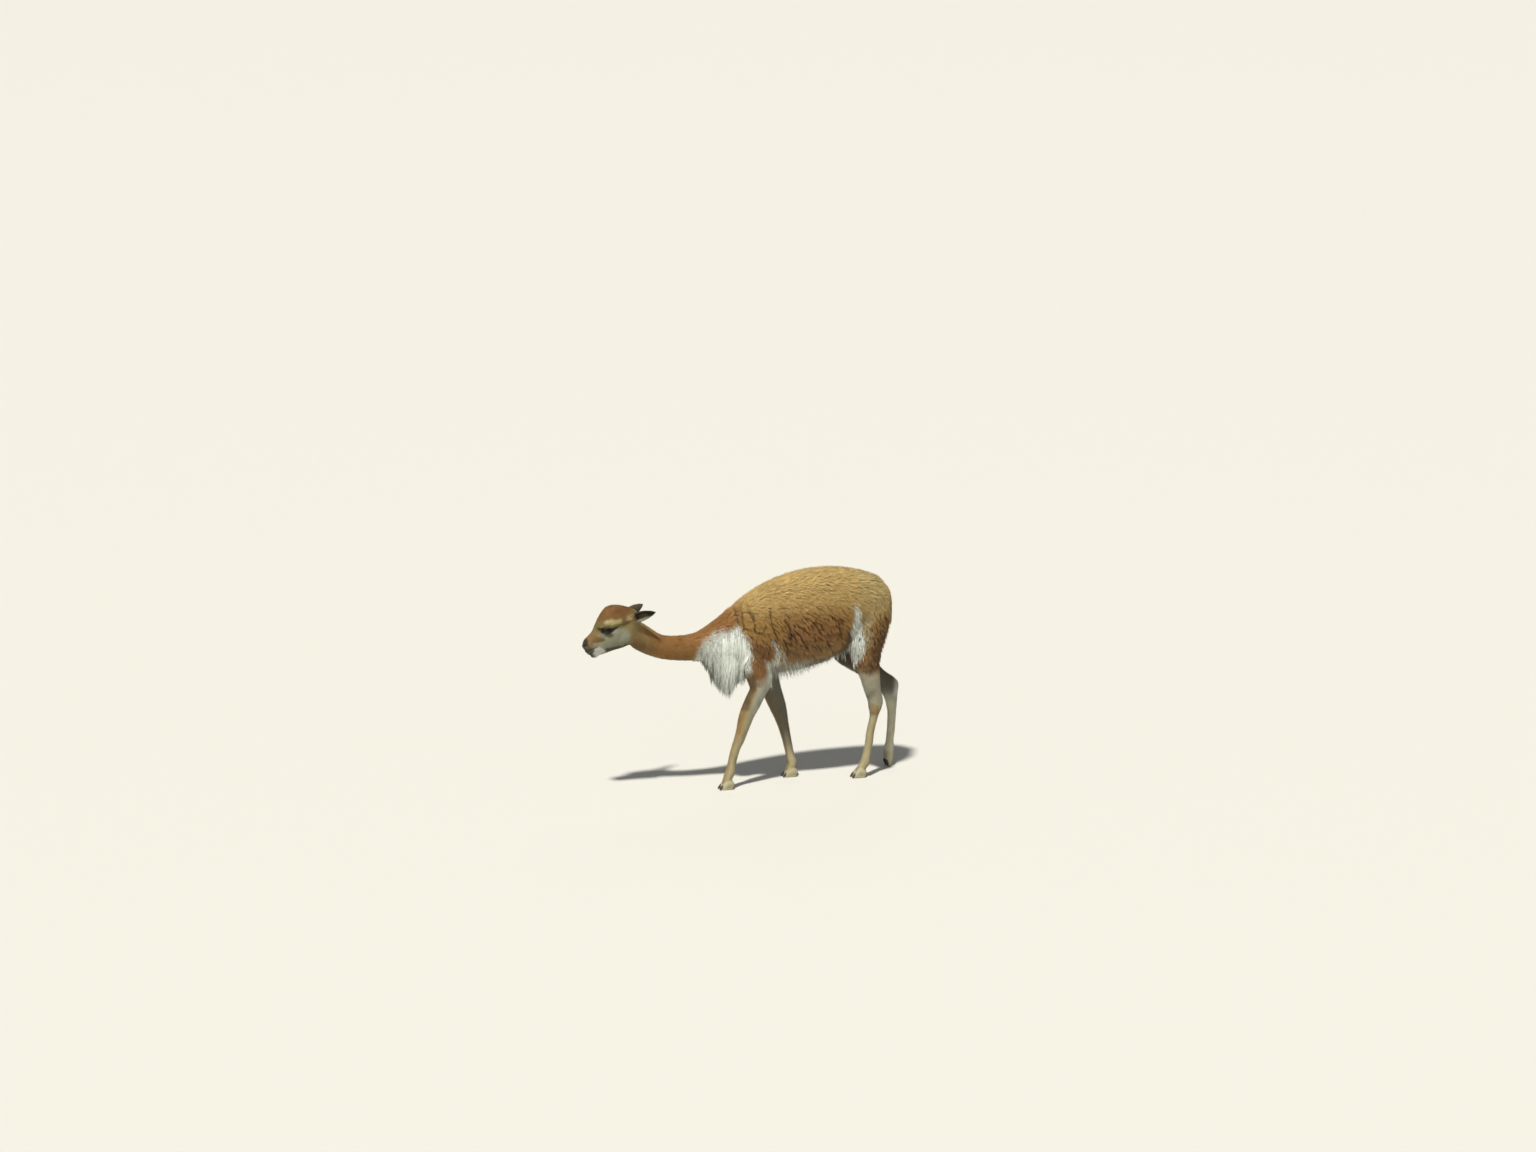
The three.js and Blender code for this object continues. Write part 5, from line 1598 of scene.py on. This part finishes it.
def makeLongHair(roots, skinFloor, tree, draw):
    silk = fibreMaterial("silkyGuardHair", 0.55, 0.12, "F4F1E6", 900.0)
    kind, normal = roots["kind"], roots["even"]
    x, y, z = roots["points"].T

    def pick(score, name):
        # roots of some strands, most of them where the score is high
        score = score * roots["spacing"] ** 2
        count = int(strands[name]["count"] * (1))
        return draw.choice(len(x), min(count, int((score > 0).sum())), replace=False, p=score / score.sum())

    def hung(name, some, longs):
        spec = strands[name]
        return gathered(hangingLines(roots, some, longs, spec, skinFloor, draw), spec["cell"],
                        spec["share"], draw)

    def white(name, some, low, high):
        return np.tile(linear(coat[name]), (len(some), 1)) * draw.uniform(low, high, (len(some), 1))

    def hang(title, name, some, lines, tone, fibre, lowShade=0.0):
        spec = strands[name]
        thick = draw.uniform(*spec["spread"], len(some)) * spec["thick"]
        drawStrands(title, lines, thick, tone, roots["uv"][some], tree, fibre, lowShade=lowShade)

    # bib: from the breast and the lower sides of the neck's root
    into = step(intoPatch(x, z, shapes["bib"]), -4, 16) * kindIs(kind, "trunk") * (z < 690)
    low = into * (1 + 0.4 * (1 - step(z, 540, 620)) + 0.8 * step(z, 610, 660))
    edge = np.array(strands["bibEdge"], float).T
    for word, sided in (("left", y < 0), ("right", y >= 0)):
        some = pick(low * sided, "bib")
        longs = z[some] - np.interp(x[some], *edge)
        longs = longs * (1 - 0.36 * draw.beta(1.0, 2.4, len(some))) + draw.normal(0, 4, len(some))
        ragged = ripple(roots["points"][some] * [1, 1, 0.2], 26, 71)  # the locks end at their own heights
        longs = np.clip(longs * (1 - 0.2 * step(ragged, -0.2, 0.9)), 12, 235)
        lines, apart = hung("bib", some, longs)
        tone = white("bibWhite", some, 0.8, 1.1)
        # strands between the locks, low on the bib and at its front are darker: painted shade
        tone *= (1.12 - 0.68 * step(apart, 0.36, 0.82))[:, None]
        tone *= (1 - 0.36 * (1 - step(lines[:, 0, 2], 520, 590)) - 0.28 * step(-x[some], 410, 470))[:, None]
        hang(f"bib_hair_{word}", "bib", some, lines, tone, silk, 0.26)

    # fringe under the belly, whitest behind the elbow
    under = step(-normal[:, 2], 0.1, 0.6) * step(x, -230, -190) * (1 - step(x, 60, 130))
    under = under * (z < 540) * (z > 430)
    some = pick(under * kindIs(kind, "trunk"), "belly")
    longs = draw.uniform(*strands["belly"]["long"], len(some)) * (0.55 + 0.45 * step(-x[some], -40, 140))
    lines, apart = hung("belly", some, longs)
    palest = step(x[some], -170, -150) * (1 - step(x[some], -70, -30))
    tone = white("streakWhite", some, 0.45, 0.9) * (0.85 + 0.5 * palest)[:, None]
    hang("belly_fringe", "belly", some, lines, tone, silk)

    # the white streaks behind the elbow and on the thigh
    elbow = np.exp(-((offLine(x, z, shapes["elbowStreak"]) / 6) ** 2)) * (z > 470) * (z < 612)
    armEdge = kindIs(kind, "foreLeft", "foreRight") * step(normal[:, 0], 0.2, 0.6) * (z > 452) * (z < 550)
    elbow = np.maximum(elbow, 0.7 * armEdge * (np.abs(y) > 55))
    thigh = step(intoPatch(x, z, shapes["thighStreak"]), -4, 6) * (z > 500)
    some = pick(np.maximum(elbow, thigh) * (np.abs(y) > 45), "streak")
    lines, apart = hung("streak", some, draw.uniform(*strands["streak"]["long"], len(some)))
    tone = np.tile(linear(coat["streakWhite"]), (len(some), 1))
    # strands between the locks are darker: painted shade
    tone = tone * (1.05 - 0.5 * step(apart, 0.3, 0.85))[:, None]
    hang("streak_hair", "streak", some, lines, tone, silk)

    # tail: locks all round, pale on the side that lies on the rump
    some = pick(kindIs(kind, "tail") * (z < 800), "tail")
    room = np.clip(z[some] - 612, 8, 90)
    lines, apart = hung("tail", some, np.minimum(draw.uniform(*strands["tail"]["long"], len(some)), room))
    inner = step(-normal[some, 0], -0.2, 0.6)[:, None]
    tone = linear(coat["cinnamon"]) * (1 - inner) + linear(coat["streakWhite"]) * inner * 0.8
    tone = tone * draw.uniform(0.7, 1.1, (len(some), 1))
    wool = fibreMaterial("tailWool", 0.7, 0.2, "E8CFA0", 900.0)
    hang("tail_hair", "tail", some, lines, tone, wool)


def gathered(lines, cell, share, draw):
    # neighbouring strands lean together into pointed locks
    # also gives how far each one is from the middle of its lock
    tips = lines[:, -1]
    lead = thinned(tips * [1, 1, 0.4], cell, draw)
    tree = treeOf(tips[lead] * [1, 1, 0.4])
    t = np.linspace(0, 1, lines.shape[1])[:, None] ** 1.5
    out = lines.copy()
    apart = np.empty(len(lines))
    for i in range(len(lines)):
        _, found, away = tree.find(tips[i] * [1, 1, 0.4])
        apart[i] = away / cell
        shift = lines[lead[found]][-1] - tips[i]
        shift[2] *= 0.3
        out[i] += t * shift * share
    return out, apart


# Eyes, lids, lashes and nails

def smoothObject(name, verts, faces, material, slotName, *nodes):
    # a plain finished piece of its own
    made = outwards(newObject(name, verts, faces))
    smoothShaded(made.data)
    made.data.materials.append(material)
    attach(made, "root")
    if nodes:
        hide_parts(*nodes)
    return made


def makeEyes(floor, tree, draw):
    cornea, lid, lash = wetCornea(), lidSkin(), None
    ahead = np.array([-math.cos(body["headPitch"]), 0, -math.sin(body["headPitch"])])
    above = np.array([-math.sin(body["headPitch"]), 0, math.cos(body["headPitch"])])
    for side, word in ((-1, "left"), (1, "right")):
        centre = headSpot(eye["forward"], eye["rise"], side * eye["across"])
        out = np.array([0.0, side, 0.0])
        verts, faces = ballMesh(centre, (ahead, above, out), (eye["radius"],) * 3, 64, 48)
        rel = (verts - centre) / eye["radius"]
        front = rel @ out
        verts = verts + out * (0.8 * step(front, 0.72, 0.95))[:, None]  # the cornea stands out a little
        ball = smoothObject(f"eye_{word}_ball", verts, faces, cornea, "eye", f"eye_{word}")
        c, s = math.cos(math.radians(eye["slitTilt"] * 0.5)), math.sin(math.radians(eye["slitTilt"] * 0.5))
        a, b = (rel @ ahead) * c + (rel @ above) * s, -(rel @ ahead) * s + (rel @ above) * c
        iris = 1 - step(np.hypot(a, b), 0.62, 0.72)
        pupil = 1 - step(np.hypot(a / 0.42, b / 0.17), 0.85, 1.1)
        dark, brown, black = (linear(eye[key]) for key in ("ball", "iris", "pupil"))
        tone = dark + (brown - dark) * (iris * (0.6 + 0.4 * np.abs(a)))[:, None]
        tone = tone + (black - tone) * pupil[:, None]
        tone[front < 0] = dark
        setColour(ball.data, "iris", tone)
        # rim of the lids, on the skin round the opening
        tilt = math.radians(eye["slitTilt"])
        path = []
        for angle in fullTurn(72):
            a = eye["slitLong"] * 1.06 * math.cos(angle)
            b = eye["slitHigh"] * 1.08 * math.sin(angle)
            u = eye["forward"] + a * math.cos(tilt) - b * math.sin(tilt)
            v = eye["rise"] + a * math.sin(tilt) + b * math.cos(tilt)
            start = headSpot(u, v, side * 80)
            hit = floor.ray_cast(Vector(start), Vector((0, -side, 0)))[0]
            path.append(np.array(hit) if hit is not None else headSpot(u, v, side * 46))
        path = np.array(path)
        for _ in range(6):
            path = (np.roll(path, 1, 0) + path * 2 + np.roll(path, -1, 0)) / 4
        verts, faces = ringTube(path, eye["rim"], 10)
        smoothObject(f"eye_{word}_lids", verts, faces, lid, "face_coat")
        # lashes along the upper lid
        spec = strands["lashes"]
        count = spec["count"]
        t = np.linspace(0, 1, spec["segments"] + 1)
        lines = np.empty((count, len(t), 3))
        for i, angle in enumerate(np.linspace(0.1, 0.9, count) * math.pi):
            root = path[int(angle / (2 * math.pi) * 72) % 72]
            long = spec["long"] * (0.7 + 0.5 * math.sin(angle)) * draw.uniform(0.85, 1.1)
            aim = out * 0.9 + above * 0.1 + ahead * (0.5 * math.cos(angle) + 0.15)
            aim = aim / np.linalg.norm(aim)
            lines[i] = root + out * 0.6 + np.outer(t * long, aim) - np.outer(t**2 * long * 0.45, above)
        tone = np.tile(linear(eye["lash"]), (count, 1))
        uvs = np.stack([np.linspace(0.05, 0.95, count), np.full(count, 0.5)], 1)
        lash = lash or fibreMaterial("lashHair", 0.45, 0.0, "FFFFFF", 900.0)
        thick = np.full(count, spec["thick"])
        drawStrands(f"eye_{word}_lashes", lines, thick, tone, uvs, tree, lash, 1.0)


def ringTube(path, radius, sides):
    # a closed tube round a closed path
    ahead = unit(np.roll(path, -1, 0) - np.roll(path, 1, 0))
    out = unit(path - path.mean(0))
    out = unit(out - (out * ahead).sum(1)[:, None] * ahead)
    other = np.cross(ahead, out)
    around = fullTurn(sides)[None, :, None]
    verts = path[:, None] + radius * (out[:, None] * np.cos(around) + other[:, None] * np.sin(around))
    return verts.reshape(-1, 3), ringFaces(len(path), sides, True)


def makeNails():
    # each nail stands for a node of its own, half a millimetre wider
    horn = hoofHorn()
    for name, rows in nailForms.items():
        rows = np.array(rows, float)
        rows[:, 4] += 0.5
        verts, faces = loft(rows, 24, 8, (2, 2.5))
        smoothObject(name + "_horn", verts, faces, horn, "nail", name)


# Camera, floor and lights

view = {
    "focal": 3300.0, "image": (1536, 1152), "azimuth": -20.0, "drop": 11.2, "distance": 13.75,
    "origin": (812.0, 777.0),  # where the animal's own zero stands in the picture
    "zero": (0.28845, 0.0, 0.0),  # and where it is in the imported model
}


def makeCamera():
    a, e = math.radians(view["azimuth"]), math.radians(view["drop"])
    back = Vector((math.sin(a) * math.cos(e), -math.cos(a) * math.cos(e), math.sin(e)))
    right = Vector((math.cos(a), math.sin(a), 0))
    up = back.cross(right)
    wide, high = view["image"]
    across = (view["origin"][0] - wide / 2) / view["focal"] * view["distance"]
    above = -(view["origin"][1] - high / 2) / view["focal"] * view["distance"]
    data = bpy.data.cameras.new("camera")
    data.sensor_width = 36
    data.lens = view["focal"] / wide * 36
    data.clip_end = 200
    camera = linked("camera", data)
    camera.location = Vector(view["zero"]) + back * view["distance"] - right * across - up * above
    camera.rotation_euler = Matrix((right, up, back)).transposed().to_euler()
    bpy.context.scene.camera = camera


studio = {
    "floor": "C9C5BB",
    "key": {"from": (-0.31, -0.4, 1.0), "spread": 4, "power": 4.7, "tint": "FFFFFB"},
    "fill": {"from": (-0.2, -0.9, 0.35), "spread": 60, "power": 0.22, "tint": "FAFDFF"},
    "rim": {"from": (0.4, 0.9, 0.8), "spread": 30, "power": 0.2, "tint": "FFFFFF"},
    "sky": 0.27, "skyTint": "DDE3EA",
    "wall": "F5F1E4",
    "half": 400.0,  # half the floor's side, in metres
}


def makeStudio():
    half = studio["half"]
    corners = [(-half, -half, 0), (half, -half, 0), (half, half, 0), (-half, half, 0)]
    ground = linked("floor", newMesh("floor", corners, [], [(0, 1, 2, 3)]))
    made, tree, shader = newMaterial("studioFloor")  # matt painted floor
    shader.inputs["Base Color"].default_value = light(studio["floor"])
    shader.inputs["Roughness"].default_value = 0.9
    ground.data.materials.append(made)
    for name in ("key", "fill", "rim"):
        spec = studio[name]
        data = bpy.data.lights.new(name, "SUN")
        data.angle = math.radians(spec["spread"])
        data.energy = spec["power"]
        data.color = linear(spec["tint"])
        lamp = linked(name, data)
        lamp.rotation_euler = Vector(spec["from"]).to_track_quat("Z", "Y").to_euler()
    world = bpy.data.worlds.new("studio")
    bpy.context.scene.world = world
    world.use_nodes = True
    sky = world.node_tree.nodes["Background"]
    sky.inputs["Color"].default_value = light(studio["skyTint"])
    sky.inputs["Strength"].default_value = studio["sky"]
    # the wall behind the floor is as pale as the floor, and lights nothing
    tree = world.node_tree
    wall = addNode(tree, "ShaderNodeBackground", None, {"Color": light(studio["wall"])})
    seen = addNode(tree, "ShaderNodeLightPath").outputs["Is Camera Ray"]
    both = addNode(tree, "ShaderNodeMixShader", None, {0: seen, 1: sky.outputs[0], 2: wall.outputs[0]})
    tree.links.new(both.outputs[0], tree.nodes["World Output"].inputs["Surface"])
    bpy.context.scene.view_settings.view_transform = "Standard"


# Making

makeCamera()
makeStudio()
print("forms:", len(forms))
skin = makeSkin()
unwrapSkin(skin)
info = readSkin(skin)
dressSkin(skin, info)
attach(skin, "root")
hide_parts(*[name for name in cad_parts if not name.startswith(("eye_", "nail_"))])
print("skin dressed")

draw = np.random.RandomState(body["seed"])
skinTriangles = trianglesOf(skin.data)
flatUv = pulled(skin.data.uv_layers["OFBake"].data, "uv", 2)
skinUv = flatUv[pulled(skin.data.loop_triangles, "loops", 3, np.int32)].astype(float)
roots = scatter(info, skinTriangles, skinUv, draw)
print("roots:", len(roots["depth"]))
hair = combed(roots, draw)

lock = template("lockShape", *tuft["lock"])
spike = template("hairShape", *tuft["hair"])
wool = fibreMaterial("vicunaWool", 0.78, 0.3, "F2D9A8", 700.0)
shortHair = fibreMaterial("shortFaceAndLegHair", 0.68, 0.18, "F0E2C8", 900.0)
plantTree = tuftTree()
x, y, z = roots["points"].T
isLock = roots["depth"] > tuft["longFrom"]
onHead = kindIs(roots["kind"], "head")
onEar = roots["ear"] > 0.5
onNeck = kindIs(roots["kind"], "trunk") & (x < -420)
onLegs = ~isLock & ~onHead & ~onEar & ~onNeck
pieces = {
    "neck_wool": (isLock & onNeck, lock, wool, "neck_coat"),
    "head_hair": (~isLock & (onHead | onEar | onNeck), spike, shortHair, "face_coat"),
    "leg_hair_fore": (onLegs & (x < 0), spike, shortHair, "leg_coat"),
    "leg_hair_hind": (onLegs & (x >= 0), spike, shortHair, "leg_coat"),
}
ends = (-2000, *body["cuts"], 2000)
for number, (low, high) in enumerate(zip(ends[:-1], ends[1:])):
    for word, sided in (("left", y < 0), ("right", y >= 0)):
        some = isLock & ~onNeck & sided & (x >= low) & (x < high)
        pieces[f"fleece_{word}_{number + 1}"] = (some, lock, wool, "fleece")
for name, (chosen, form, fibre, slotName) in pieces.items():
    some = np.where(chosen)[0]
    if len(some) * form["triangles"] > body["pieceLimit"]:
        raise ValueError(f"{name} has {len(some)} tufts")
    if len(some):
        plant(name, roots, hair, some, form, plantTree, fibre)

skinFloor = BVHTree.FromPolygons(info["points"].tolist(), skinTriangles.tolist())
lineTree = strandTree()
makeLongHair(roots, skinFloor, lineTree, draw)
makeEyes(skinFloor, lineTree, draw)
makeNails()
print("eyes and nails made")
for made in (lock["object"], spike["object"]):
    bpy.data.objects.remove(made)
